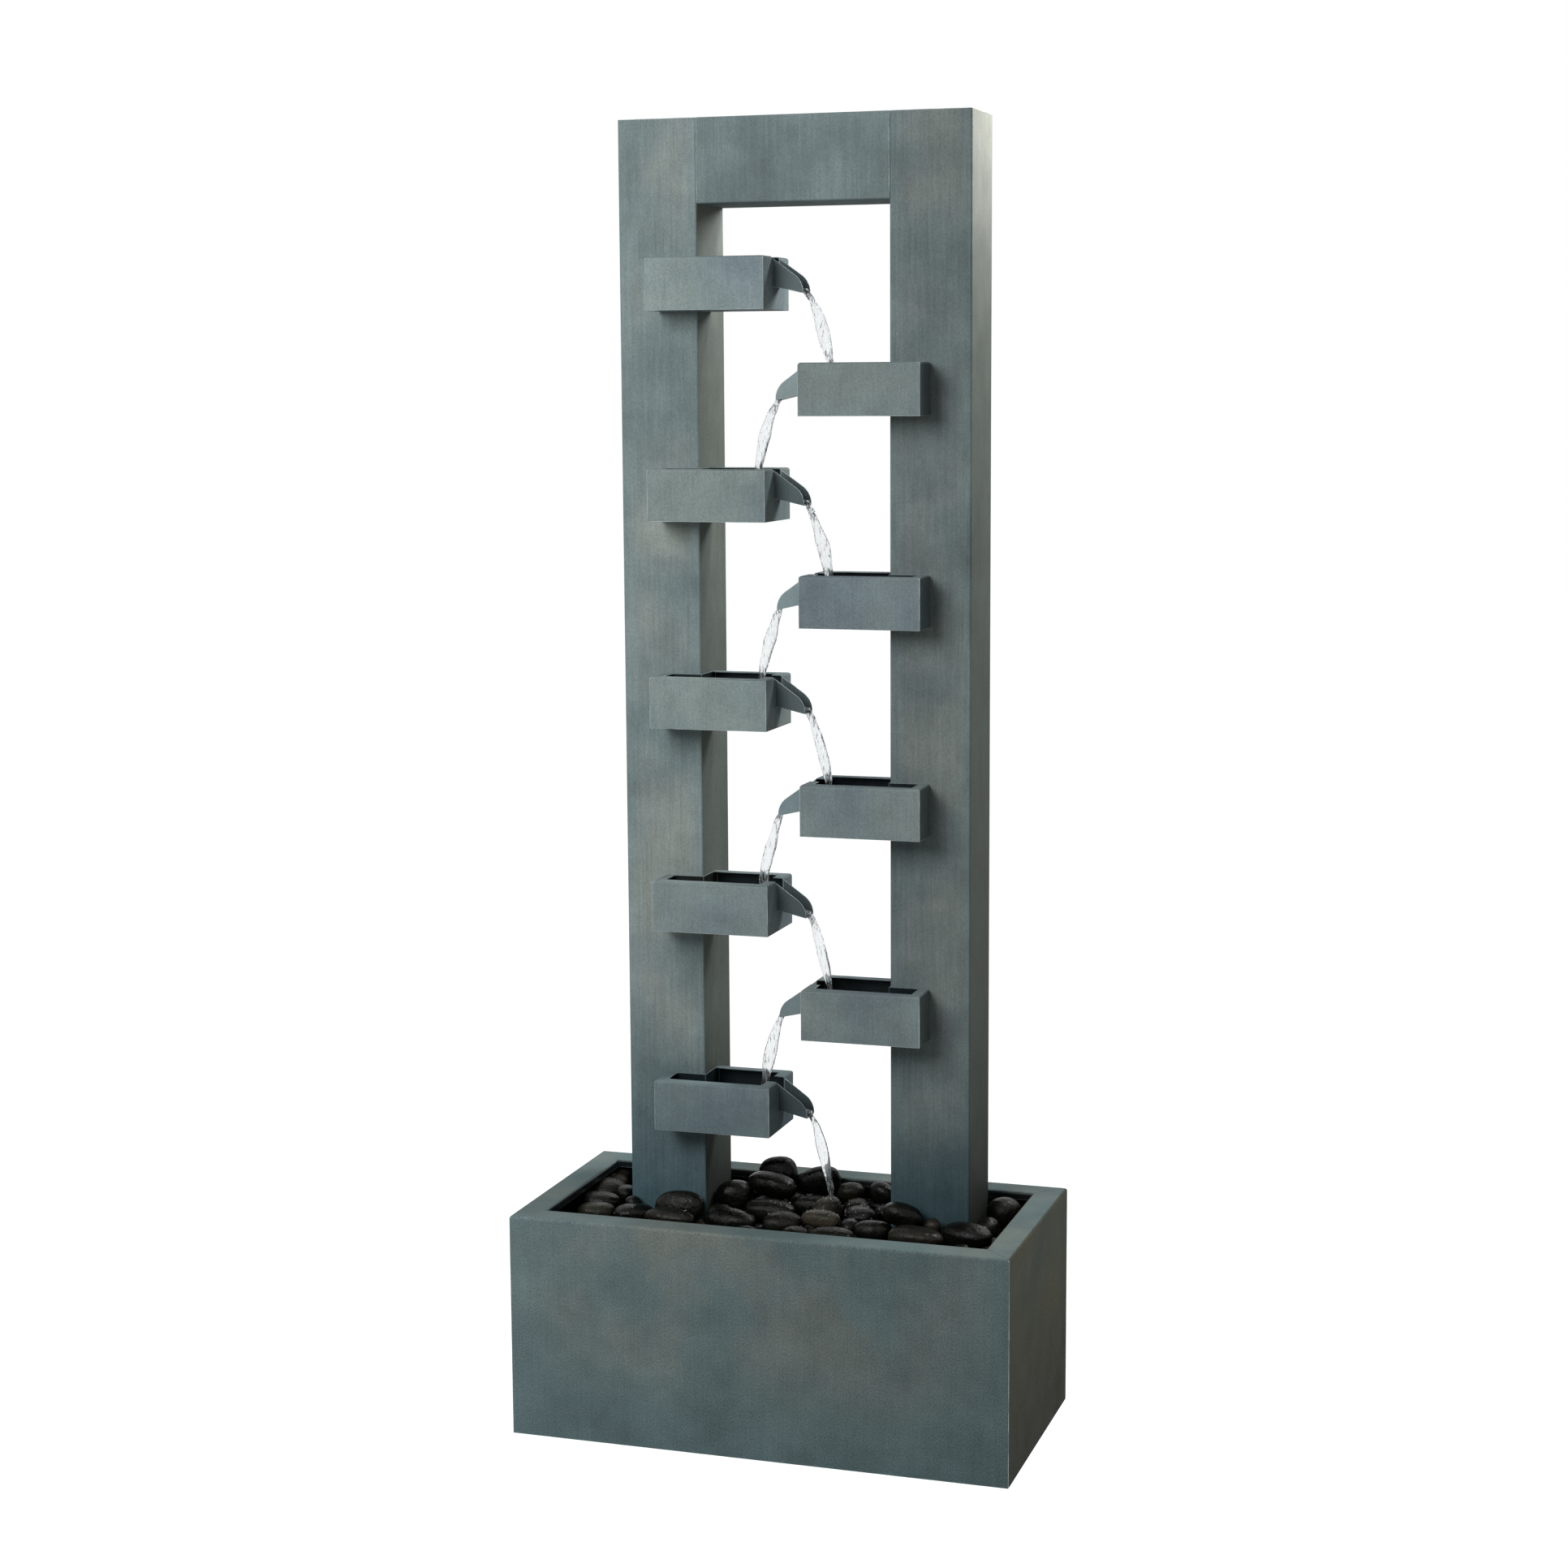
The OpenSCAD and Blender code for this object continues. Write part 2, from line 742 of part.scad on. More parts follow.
module supply_hose() {
    inlet_end = frame_front + sheet + nut_t + 1.5;
    low_run = abs(inlet_x) - 2 * low_bend;
    color([0.75, 0.8, 0.78])
        union() {
            translate([0, hose_y, hose_start])
                linear_extrude(barb_l)
                    hose_section();
            translate([0, hose_y, hose_start + barb_l])
                mirror([1, 0, 0])
                    hose_bend(low_bend);
            translate([-low_bend, hose_y, hose_level])
                rotate([0, -90, 0])
                    linear_extrude(low_run)
                        hose_section();
            translate([inlet_x, hose_y, hose_level + low_bend])
                mirror([0, 0, 1])
                    hose_bend(low_bend);
            translate([inlet_x, hose_y, hose_level + low_bend])
                linear_extrude(inlet_z - top_bend - hose_level - low_bend)
                    hose_section();
            translate([inlet_x, hose_y, inlet_z - top_bend])
                rotate(-90)
                    hose_bend(top_bend);
            translate([inlet_x, inlet_end, inlet_z])
                rotate([-90, 0, 0])
                    linear_extrude(hose_y - top_bend - inlet_end)
                        hose_section();
        }
}

// The pump lies along X with its intake towards +X. Its parts are drawn about the rotor's axis,
// which runs along the local Z, with local z = 0 at the rear wall of the impeller's chamber.
chamber_l = 20;
chamber_back = 3;
chamber_r = impeller_d / 2 + 2;
well_r = magnet_d / 2 + 1;
well_l = 46;
bush_l = 5;
bush_r = shaft_d / 2 + 1.5;
bush_gap = 0.02;
outlet_r = 6.5;
outlet_wall = 2;
boss_r = outlet_r + outlet_wall;
outlet_at = chamber_l - boss_r - 0.5;
cover_t = 2;
hub_l = 2;
hub_r = bush_r + 1.5;
dial_gap = 0.3;
dial_rim = 1.5;
dial_grip = 4;
pin_r = 3;
pin_head = 1;
gland_r = 6;
gland_seat = 4;

// Local X is up and local Y runs towards the back
module along_pump() {
    translate([-outlet_at, hose_y, pump_axis])
        rotate([0, 90, 0])
            mirror([1, 0, 0])
                children();
}

module pump_housing() {
    fin_count = 6;
    fin_pitch = 7;
    fin_depth = 1;
    color("#1f2124")
        along_pump()
            difference() {
                union() {
                    translate([0, 0, chamber_l - pump_l])
                        linear_extrude(pump_l)
                            round_rect(pump_h, pump_w, pump_edge);
                    translate([0, 0, outlet_at])
                        rotate([0, 90, 0])
                            cylinder(h = pump_h / 2 + boss_h, r = boss_r);
                }
                translate([0, 0, -well_l])
                    cylinder(h = well_l + chamber_l, r = well_r);
                translate([0, 0, chamber_back])
                    cylinder(h = chamber_l, r = chamber_r);
                translate([0, 0, -well_l - bush_l])
                    cylinder(h = bush_l + cut, r = bush_r + bush_gap);
                translate([0, 0, outlet_at])
                    rotate([0, 90, 0])
                        cylinder(h = pump_h / 2 + boss_h + cut, r = outlet_r);
                for (k = [0:fin_count - 1], s = [-1, 1])
                    translate([-pump_h / 2 + pump_edge, s * pump_w / 2 - fin_depth,
                        -well_l + k * fin_pitch])
                        cube([pump_h - 2 * pump_edge, 2 * fin_depth, fin_pitch / 2]);
                translate([-pump_h / 4, 0, chamber_l - pump_l - cut])
                    cylinder(h = gland_seat + cut, r = gland_r + bush_gap);
            }
}

// Disc that closes the impeller's chamber, with a hub on three arms in its intake hole
module pump_volute_cover() {
    intake_r = hub_r + 5;
    overlap = 3;
    arm_w = 2;
    color("#2a2c30")
        along_pump()
            translate([0, 0, chamber_l])
                difference() {
                    union() {
                        difference() {
                            cylinder(h = cover_t, r = chamber_r + overlap);
                            translate([0, 0, -cut])
                                cylinder(h = cover_t + 2 * cut, r = intake_r);
                        }
                        translate([0, 0, -hub_l])
                            cylinder(h = cover_t + hub_l, r = hub_r);
                        for (a = [0:120:240])
                            rotate(a)
                                translate([0, -arm_w / 2, 0])
                                    cube([intake_r + cut, arm_w, cover_t]);
                    }
                    translate([0, 0, -hub_l - cut])
                        cylinder(h = cover_t + hub_l + 2 * cut, r = bush_r + bush_gap);
                }
}

// Two opposite windows, as sectors of a ring, that the dial closes as it turns
module dial_windows() {
    half_turn = 30;
    intersection() {
        difference() {
            circle(r = dial_d / 2 - dial_rim);
            circle(r = pin_r + pin_head + dial_rim);
        }
        for (a = [0, 180])
            rotate(a)
                polygon([[0, 0], [dial_d, dial_d * tan(half_turn)], [dial_d, -dial_d * tan(half_turn)]]);
    }
}

module pump_strainer() {
    slot_pitch = 2 * slot_w + 0.5;
    slots = floor((strainer_l - 5 * strainer_wall) / slot_pitch);
    color("#1f2124")
        along_pump()
            translate([0, 0, chamber_l])
                difference() {
                    linear_extrude(strainer_l)
                        round_rect(pump_h, pump_w, pump_edge);
                    translate([0, 0, -strainer_wall])
                        linear_extrude(strainer_l)
                            round_rect(pump_h - 2 * strainer_wall, pump_w - 2 * strainer_wall,
                                pump_edge - strainer_wall);
                    for (k = [1:slots])
                        translate([-pump_h / 2 + pump_edge, -pump_w, k * slot_pitch])
                            cube([pump_h - 2 * pump_edge, 2 * pump_w, slot_w]);
                    translate([0, 0, strainer_l - strainer_wall - cut])
                        linear_extrude(strainer_wall + 2 * cut) {
                            circle(pin_r);
                            dial_windows();
                        }
                }
}

// Magnet and impeller in one, free on the shaft
module pump_rotor() {
    disc_t = 1.5;
    blade_t = 1.4;
    eye_r = 7;
    disc_z = chamber_back + 1;
    end_play = 0.8;
    back_z = end_play - well_l;
    blade_h = chamber_l - hub_l - end_play - disc_z - disc_t;
    sweep_r = impeller_d / 3;
    color("#3a3d42")
        along_pump()
            difference() {
                union() {
                    translate([0, 0, back_z])
                        cylinder(h = disc_z - back_z, d = magnet_d);
                    translate([0, 0, disc_z])
                        cylinder(h = disc_t, d = impeller_d);
                    translate([0, 0, disc_z])
                        cylinder(h = disc_t + blade_h, r = shaft_d / 2 + 2);
                    translate([0, 0, disc_z + disc_t])
                        linear_extrude(blade_h)
                            intersection() {
                                for (k = [0:blade_count - 1])
                                    rotate(k * 360 / blade_count)
                                        translate([impeller_d / 3, sweep_r * 0.6])
                                            difference() {
                                                circle(sweep_r);
                                                circle(sweep_r - blade_t);
                                                translate([-2 * sweep_r, 0])
                                                    square(4 * sweep_r);
                                                translate([-2 * sweep_r, -2 * sweep_r])
                                                    square(2 * sweep_r);
                                            }
                                difference() {
                                    circle(d = impeller_d);
                                    circle(eye_r);
                                }
                            }
                }
                translate([0, 0, back_z - cut])
                    cylinder(h = 2 * well_l, r = shaft_d / 2 + shaft_play);
            }
}

module pump_shaft() {
    color("#e8e4da")
        along_pump()
            translate([0, 0, -well_l - bush_l])
                cylinder(h = well_l + bush_l + chamber_l + cover_t, d = shaft_d);
}

// Rubber bushes that hold the shaft's ends in the housing and in the cover's hub
module shaft_bushes() {
    color("#202022")
        along_pump()
            for (b = [[-well_l - bush_l, bush_l], [chamber_l - hub_l, cover_t + hub_l]])
                translate([0, 0, b[0]])
                    difference() {
                        cylinder(h = b[1], r = bush_r);
                        translate([0, 0, -cut])
                            cylinder(h = b[1] + 2 * cut, r = shaft_d / 2 + bush_gap);
                    }
}

// Knob on the intake cover, snapped into it by its headed pin
module pump_flow_dial() {
    disc_t = 2;
    head_t = 1.5;
    front = chamber_l + strainer_l;
    color("#2f6f8f")
        along_pump()
            union() {
                translate([0, 0, front + dial_gap])
                    linear_extrude(disc_t)
                        difference() {
                            circle(d = dial_d);
                            dial_windows();
                        }
                translate([-dial_grip / 2, (dial_grip - dial_d) / 2, front + dial_gap])
                    cube([dial_grip, dial_d - dial_grip, disc_t + dial_grip]);
                translate([0, 0, front - strainer_wall - dial_gap - head_t])
                    cylinder(h = strainer_wall + 2 * dial_gap + head_t + disc_t, r = pin_r - 0.05);
                translate([0, 0, front - strainer_wall - dial_gap - head_t])
                    cylinder(h = head_t, r = pin_r + pin_head);
            }
}

// Barbed outlet pushed into the boss on top of the housing
module pump_outlet() {
    barb_r = hose_d / 2 - hose_wall - 0.1;
    spigot = pump_h / 2 + boss_h - chamber_r - 1;
    collar_margin = 1;
    color("#2a2c30")
        translate([0, hose_y, hose_start])
            difference() {
                union() {
                    translate([0, 0, -collar_h])
                        cylinder(h = collar_h, r = boss_r + collar_margin);
                    translate([0, 0, -collar_h - spigot])
                        cylinder(h = spigot, r = outlet_r - 0.1);
                    for (k = [0:2])
                        translate([0, 0, k * barb_l / 3])
                            cylinder(h = barb_l / 3, r1 = barb_r, r2 = barb_r - 0.8);
                }
                translate([0, 0, -collar_h - spigot - cut])
                    cylinder(h = collar_h + spigot + barb_l + 2 * cut, r = outlet_r - outlet_wall);
            }
}

// Four rubber feet that hold the pump on the basin's floor
module pump_suckers() {
    stem = sucker_h * 0.45;
    lip_r = 9;
    stem_r = 4;
    hollow = 1;
    inset = lip_r + 1;
    color("#202022")
        for (x = [chamber_l - pump_l + inset, chamber_l - inset], y = [-1, 1])
            translate([x - outlet_at, hose_y + y * (pump_w / 2 - pump_edge - stem_r), sheet])
                difference() {
                    union() {
                        cylinder(h = sucker_h - stem, r1 = lip_r, r2 = stem_r);
                        translate([0, 0, sucker_h - stem])
                            cylinder(h = stem, r = stem_r);
                    }
                    translate([0, 0, -cut])
                        cylinder(h = hollow + cut, r = lip_r - 2 * hollow);
                }
}

// Rubber gland where the pump's cord enters the back of the housing
module pump_cord_gland() {
    gland_l = 9;
    closed_end = 2;
    color("#202022")
        along_pump()
            translate([-pump_h / 4, 0, chamber_l - pump_l])
                difference() {
                    translate([0, 0, gland_seat - gland_l])
                        cylinder(h = gland_l, r = gland_r);
                    translate([0, 0, gland_seat - gland_l - cut])
                        cylinder(h = gland_l - closed_end + cut, d = cord_bore - 1);
                }
}

basin_front();
basin_rear();
basin_left_side();
basin_right_side();
basin_floor();
cord_grommet();
tray_ledge_front();
tray_ledge_rear();
stone_tray();
stones_lower();
stones_upper();
stones_crown();
left_post();
right_post();
top_beam();
left_post_socket();
right_post_socket();
post_screws();
color(zinc) first_cup();  // cup_1
color(zinc) cup(1);  // cup_2
color(zinc) cup(2);  // cup_3
color(zinc) cup(3);  // cup_4
color(zinc) cup(4);  // cup_5
color(zinc) cup(5);  // cup_6
color(zinc) cup(6);  // cup_7
color(zinc) cup(7);  // cup_8
color(zinc) cup(8);  // cup_9
color(zinc_dark) spout(0);  // spout_1
color(zinc_dark) spout(1);  // spout_2
color(zinc_dark) spout(2);  // spout_3
color(zinc_dark) spout(3);  // spout_4
color(zinc_dark) spout(4);  // spout_5
color(zinc_dark) spout(5);  // spout_6
color(zinc_dark) spout(6);  // spout_7
color(zinc_dark) spout(7);  // spout_8
color(zinc_dark) spout(8);  // spout_9
inlet_nipple();
inlet_washer();
inlet_nut();
supply_hose();
pump_housing();
pump_volute_cover();
pump_strainer();
pump_rotor();
pump_shaft();
shaft_bushes();
pump_flow_dial();
pump_outlet();
pump_suckers();
pump_cord_gland();
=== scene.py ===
import json
import math

import bmesh
import bpy
import numpy as np
from mathutils import Matrix, Vector

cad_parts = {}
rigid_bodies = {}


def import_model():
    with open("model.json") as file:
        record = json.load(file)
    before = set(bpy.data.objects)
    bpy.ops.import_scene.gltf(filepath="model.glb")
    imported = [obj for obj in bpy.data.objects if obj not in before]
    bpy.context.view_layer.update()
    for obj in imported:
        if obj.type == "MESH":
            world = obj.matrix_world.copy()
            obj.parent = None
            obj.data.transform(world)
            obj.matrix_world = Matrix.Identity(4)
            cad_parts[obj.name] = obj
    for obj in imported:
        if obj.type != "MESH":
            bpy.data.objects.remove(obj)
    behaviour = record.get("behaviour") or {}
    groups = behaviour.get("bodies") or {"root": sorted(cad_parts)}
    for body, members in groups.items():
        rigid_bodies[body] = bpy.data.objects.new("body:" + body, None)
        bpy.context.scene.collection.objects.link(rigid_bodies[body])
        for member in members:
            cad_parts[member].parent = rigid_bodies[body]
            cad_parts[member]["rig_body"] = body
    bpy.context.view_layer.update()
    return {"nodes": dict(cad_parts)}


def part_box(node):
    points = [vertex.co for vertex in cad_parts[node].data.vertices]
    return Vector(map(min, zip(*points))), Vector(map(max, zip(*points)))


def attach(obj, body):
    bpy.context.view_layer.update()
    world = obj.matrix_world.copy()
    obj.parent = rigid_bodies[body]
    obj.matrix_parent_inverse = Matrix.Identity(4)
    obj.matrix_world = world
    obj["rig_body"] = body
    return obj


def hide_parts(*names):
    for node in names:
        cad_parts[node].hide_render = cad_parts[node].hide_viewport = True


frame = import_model()
MM = 0.001

# Viewpoint
# The photograph's camera, solved from the corners of the basin, the frame and the cups:
# a long lens to the right of the fountain, at the height of its upper cups.


def placed(name, data):
    """A new object in the scene."""
    made = bpy.data.objects.new(name, data)
    bpy.context.scene.collection.objects.link(made)
    return made


camera = placed("camera", bpy.data.cameras.new("camera"))
bpy.context.scene.camera = camera
camera.data.sensor_width = 36.0
camera.data.lens = 65.85
camera.data.clip_start, camera.data.clip_end = 0.05, 60.0
yaw, pitch, roll = math.radians(17.83), math.radians(-7.98), math.radians(-0.35)
camera.matrix_world = (
    Matrix.Translation((0.83456, -2.61338, 1.02015))
    @ Matrix.Rotation(yaw, 4, "Z")
    @ Matrix.Rotation(math.pi / 2 + pitch, 4, "X")
    @ Matrix.Rotation(roll, 4, "Z")
)

# Basin walls
# Four panels of zinc-coated sheet, brushed and then weathered in an acid bath. Each is folded over
# at the top into a flat rim with a turned-down lip, and the corners are mitred and soldered.


def colour(code):
    """Linear colour of an sRGB hex code."""
    channels = [int(code[i:i + 2], 16) / 255 for i in (1, 3, 5)]
    return [c / 12.92 if c <= 0.04045 else ((c + 0.055) / 1.055) ** 2.4 for c in channels] + [1.0]


def add(tree, kind, sockets=None, **settings):
    """Adds a node, sets its properties, and fills or links its input sockets."""
    made = tree.nodes.new(kind)
    for key, value in settings.items():
        setattr(made, key, value)
    for key, value in (sockets or {}).items():
        if isinstance(value, bpy.types.NodeSocket):
            tree.links.new(value, made.inputs[key])
        else:
            made.inputs[key].default_value = value
    return made


def new_material(name):
    """An empty node material; returns it, its tree and the coordinates of the point in view."""
    material = bpy.data.materials.new(name)
    material.use_nodes = True
    tree = material.node_tree
    tree.nodes.clear()
    return material, tree, add(tree, "ShaderNodeTexCoord").outputs["Object"]


def weathered_zinc_and_painted_light(name, cool, warm, deep, low_shade_z, streak=0.07, speck=0.08, wet=0.0, panel=None,
                   across=(1.0, 1.0), cloudy=0.1, fleck=0.0008, foot=1.0):
    """Zinc-coated sheet after an acid bath: blue-grey and warm grey clouds, a fine dark grain where
    the crystals took the acid, faint brush lines down the sheet, and a deeper tone low down, partly
    a bluer patina and partly painted shade. Real flecks are too fine to show, so the grain is drawn
    as coarse as it needs to be. low_shade_z gives the heights, in metres, between which the deeper
    tone fades out; panel the middle and half width of sheets whose borders stay blue-grey; across
    how much painted light makes the coat lighter at the fountain's left, nearer the lamp, and
    darker at its right; cloudy how much the clouds vary; fleck how wide a dark fleck is, in metres;
    and foot how dark the painted shade is where the posts stand among the stones."""
    material, tree, place = new_material(name)
    patterns = []
    for size, detail, roughness in (((0.12,) * 3, 3.0, 0.5), ((0.035,) * 3, 5.0, 0.6),
                                    ((fleck, fleck, fleck / 0.6), 1.5, 0.6),
                                    ((0.0022, 0.0022, 0.06), 3.0, 0.6)):
        drawn = add(tree, "ShaderNodeMapping", {"Vector": place, "Scale": [1 / n for n in size]})
        noise = add(tree, "ShaderNodeTexNoise", {"Vector": drawn.outputs[0], "Scale": 1.0,
                                                 "Detail": detail, "Roughness": roughness})
        patterns.append(noise.outputs["Fac"])
    cloud, patch, grain, lines = patterns
    warm_share = add(tree, "ShaderNodeMapRange",
                     {"Value": cloud, "From Min": 0.4, "From Max": 0.62})
    axes = add(tree, "ShaderNodeSeparateXYZ", {0: place})
    if panel:
        away = axes.outputs["X"]
        for operation in ("ABSOLUTE", "SUBTRACT", "ABSOLUTE"):
            away = add(tree, "ShaderNodeMath", {0: away, 1: panel[0]},
                       operation=operation).outputs[0]
        border = add(tree, "ShaderNodeMapRange",
                     {"Value": away, "From Min": 0.55 * panel[1], "From Max": panel[1],
                      "To Min": 1.0, "To Max": 0.0})
        warm_share = add(tree, "ShaderNodeMath",
                         {0: warm_share.outputs[0], 1: border.outputs[0]}, operation="MULTIPLY")
    tint = add(tree, "ShaderNodeMix", {0: warm_share.outputs[0], 6: colour(cool), 7: colour(warm)},
               data_type="RGBA")
    # The deeper tone low down: partly a bluer patina, partly painted shade
    above_low_shade = add(tree, "ShaderNodeMapRange",
              {"Value": axes.outputs["Z"], "From Min": low_shade_z[0], "From Max": low_shade_z[1]},
              interpolation_type="SMOOTHSTEP")
    tint_and_low_shade = add(tree, "ShaderNodeMix", {0: above_low_shade.outputs[0], 6: colour(deep), 7: tint.outputs[2]},
               data_type="RGBA")
    tone = 1.0
    for source, low, high, darkest, lightest in (
        (patch, 0.3, 0.7, 0.87, 1.13),
        (grain, 0.32, 0.68, 1 - speck, 1 + speck),
        (lines, 0.3, 0.7, 1 - streak, 1 + streak),
        (cloud, 0.35, 0.65, 1 - cloudy, 1 + cloudy),
        # Painted light: lighter at the fountain's left, nearer the lamp, darker at its right
        (axes.outputs["X"], -0.25, 0.25, across[0], across[1]),
        # Painted shade at the foot, among the stones
        (axes.outputs["Z"], 0.2, 0.42, foot, 1.0),
    ):
        factor = add(tree, "ShaderNodeMapRange",
                     {"Value": source, "From Min": low, "From Max": high, "To Min": darkest,
                      "To Max": lightest})
        tone = add(tree, "ShaderNodeMath", {0: tone, 1: factor.outputs[0]},
                   operation="MULTIPLY").outputs[0]
    # Each piece's painted light and shade, with some weathering of its own
    shade = add(tree, "ShaderNodeAttribute", attribute_name="shade")
    tone = add(tree, "ShaderNodeMath", {0: tone, 1: shade.outputs["Fac"]}, operation="MULTIPLY")
    base = add(tree, "ShaderNodeMix", {0: 1.0, 6: tint_and_low_shade.outputs[2], 7: tone.outputs[0]},
               data_type="RGBA", blend_type="MULTIPLY")
    rough = add(tree, "ShaderNodeMapRange",
                {"Value": patch, "From Min": 0.3, "From Max": 0.7,
                 "To Min": 0.62 - 0.35 * wet, "To Max": 0.75 - 0.4 * wet})
    relief = add(tree, "ShaderNodeMath", {0: grain, 1: lines}, operation="ADD")
    bump = add(tree, "ShaderNodeBump",
               {"Strength": 0.35, "Distance": 0.0002, "Height": relief.outputs[0]})
    shader = add(tree, "ShaderNodeBsdfPrincipled",
                 {"Base Color": base.outputs[2], "Metallic": 0.02, "Roughness": rough.outputs[0],
                  "Specular IOR Level": 0.03 + 0.2 * wet, "Normal": bump.outputs[0]})
    add(tree, "ShaderNodeOutputMaterial", {"Surface": shader.outputs[0]})
    return material


def mottled(name, tint, other, patch, detail, share, rough, relief=None, **surface):
    """A finish whose tint and roughness vary together in soft patches of a size in metres. share
    gives which part of the noise goes from one tint to the other, rough the roughness of both,
    relief the texture of its bumps: kind of node, sockets, properties, strength and depth."""
    material, tree, place = new_material(name)
    noise = add(tree, "ShaderNodeTexNoise", {"Vector": place, "Scale": 1 / patch, "Detail": detail})
    other_share = add(tree, "ShaderNodeMapRange", {"Value": noise.outputs["Fac"],
                                                   "From Min": share[0], "From Max": share[1]})
    base = add(tree, "ShaderNodeMix",
               {0: other_share.outputs[0], 6: colour(tint), 7: colour(other)}, data_type="RGBA")
    sheen = add(tree, "ShaderNodeMapRange",
                {"Value": noise.outputs["Fac"], "To Min": rough[0], "To Max": rough[1]})
    shader = add(tree, "ShaderNodeBsdfPrincipled",
                 {"Base Color": base.outputs[2], "Roughness": sheen.outputs[0], **surface})
    if relief:
        kind, sockets, properties, strength, depth = relief
        bumps = add(tree, kind, {"Vector": place, **sockets}, **properties)
        bump = add(tree, "ShaderNodeBump",
                   {"Strength": strength, "Distance": depth, "Height": bumps.outputs["Fac"]})
        tree.links.new(bump.outputs[0], shader.inputs["Normal"])
    add(tree, "ShaderNodeOutputMaterial", {"Surface": shader.outputs[0]})
    return material


# Along folds and cut edges the bath's coat is rubbed down to brighter zinc, lightened further
# into a painted highlight
worn_edge_highlight = mottled("zinc_worn_edge_highlight", "#8fa0a2", "#d8e1df", 0.02, 4.0, (0.38, 0.62), (0.42, 0.42),
                    **{"Metallic": 0.3, "Specular IOR Level": 0.3})


def dressed(node, piece_name, finishes, edge, pick=None, smooth=30.0, shade=1.0,
            worn=None):
    """A copy of a CAD node as one welded skin with rounded edges, which replaces that node.
    pick(centre, normal) gives the number of a face's finish; shade is how much lighter or darker
    this piece is than the others, partly its own weathering and partly painted light and shade;
    worn(centre) tells where its edges are rubbed and given a painted highlight."""
    mesh = frame["nodes"][node].data.copy()
    mesh.materials.clear()
    skin = bmesh.new()
    skin.from_mesh(mesh)
    bmesh.ops.remove_doubles(skin, verts=skin.verts, dist=2e-6)
    bmesh.ops.dissolve_limit(skin, angle_limit=math.radians(0.5), verts=skin.verts,
                             edges=skin.edges)
    for face in skin.faces:
        face.material_index = pick(face.calc_center_median(), face.normal) if pick else 0
        face.smooth = True
    skin.to_mesh(mesh)
    skin.free()
    vary(mesh, "shade", [shade] * len(mesh.vertices))
    for finish in finishes + [worn_edge_highlight] * bool(worn):
        mesh.materials.append(finish)
    piece = placed(piece_name, mesh)
    bevel = piece.modifiers.new("rounded_edges", "BEVEL")
    bevel.width = edge
    bevel.segments = 2
    bevel.limit_method = "ANGLE"
    bevel.angle_limit = math.radians(smooth)
    bevel.use_clamp_overlap = False
    bevel.material = len(finishes) if worn else -1
    piece.modifiers.new("flat_faces", "WEIGHTED_NORMAL")
    made_solid(piece)
    for face in piece.data.polygons if worn else ():
        if face.material_index == len(finishes) and not worn(face.center):
            face.material_index = 0
    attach(piece, frame["nodes"][node]["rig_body"])
    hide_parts(node)


def vary(mesh, name, values):
    """Gives every vertex a value that a finish reads under a name."""
    mesh.attributes.new(name, "FLOAT", "POINT").data.foreach_set("value", values)


def made_solid(piece):
    """Turns a piece's modifiers into a plain mesh."""
    graph = bpy.context.evaluated_depsgraph_get()
    mesh = bpy.data.meshes.new_from_object(piece.evaluated_get(graph))
    piece.modifiers.clear()
    piece.data = mesh


# Painted light: across makes the walls lighter to the left, nearer the lamp, darker to the right
basin_zinc = weathered_zinc_and_painted_light("weathered_zinc_basin", "#6c7c7d", "#767b75", "#66787a", (0.0, 0.16),
                            streak=0.06, speck=0.3, panel=(0.0, 0.249), across=(1.34, 0.91),
                            fleck=0.001)
# The rim is wiped more often, so its coat is plainer and less grainy
# Across paints the same light on the rim, lighter to the left
rim_zinc = weathered_zinc_and_painted_light("weathered_zinc_rim", "#6d7e7f", "#747e7a", "#68797b", (0.0, 0.16),
                          streak=0.04, speck=0.2, across=(1.27, 0.98))
# The right-hand wall faces away from the lamp and has painted shade: an olive finish darker than
# the other walls', darkest at the ground
basin_shaded_side_zinc = weathered_zinc_and_painted_light("zinc_right_side_painted_shade", "#5b5f56", "#5f5f52", "#3f4038",
                                 (0.0, 0.2), streak=0.05, speck=0.28, fleck=0.001)
# Inside, below the rim, the sheet is wet, and painted nearly black for the shade there
wet_shaded_zinc = weathered_zinc_and_painted_light("wet_shaded_zinc", "#1c2529", "#20221f", "#151a1c", (0.0, 0.2), wet=1.0)
sheet_edge = 0.4 * MM
front_low, front_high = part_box("basin_front")
rim_top = front_high.z
# How far behind a wall's face, and below the rim's top, a face still counts as outside
face_depth, rim_depth = 3.5 * MM, 1 * MM
# The corners' mitres are soldered, not rubbed: x and y differ there by this much, give or take
# 2 mm. Past edge_y the corners' own edges are rubbed
mitre, mitre_width = front_high.x + front_low.y, 2 * MM
edge_y = -front_low.y - 1 * MM
for side, outward, finish in (
    ("front", (0, -1, 0), basin_zinc), ("rear", (0, 1, 0), basin_zinc),
    ("left_side", (-1, 0, 0), basin_zinc), ("right_side", (1, 0, 0), basin_shaded_side_zinc),
):
    outward = Vector(outward)
    outer = max(outward.dot(corner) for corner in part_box("basin_" + side))

    def outside_or_wet_shade(centre, normal):
        on_face = outward.dot(centre) > outer - face_depth and outward.dot(normal) > 0.02
        on_rim = centre.z > rim_top - rim_depth and normal.z > 0.02
        if on_rim and normal.z > 0.9:
            return 2
        return 0 if on_face or on_rim else 1

    dressed("basin_" + side, f"basin_{side}_sheet", [finish, wet_shaded_zinc, rim_zinc],
            sheet_edge, outside_or_wet_shade,
            worn=lambda c: abs(abs(c.x) - abs(c.y) - mitre) > mitre_width or abs(c.y) > edge_y)

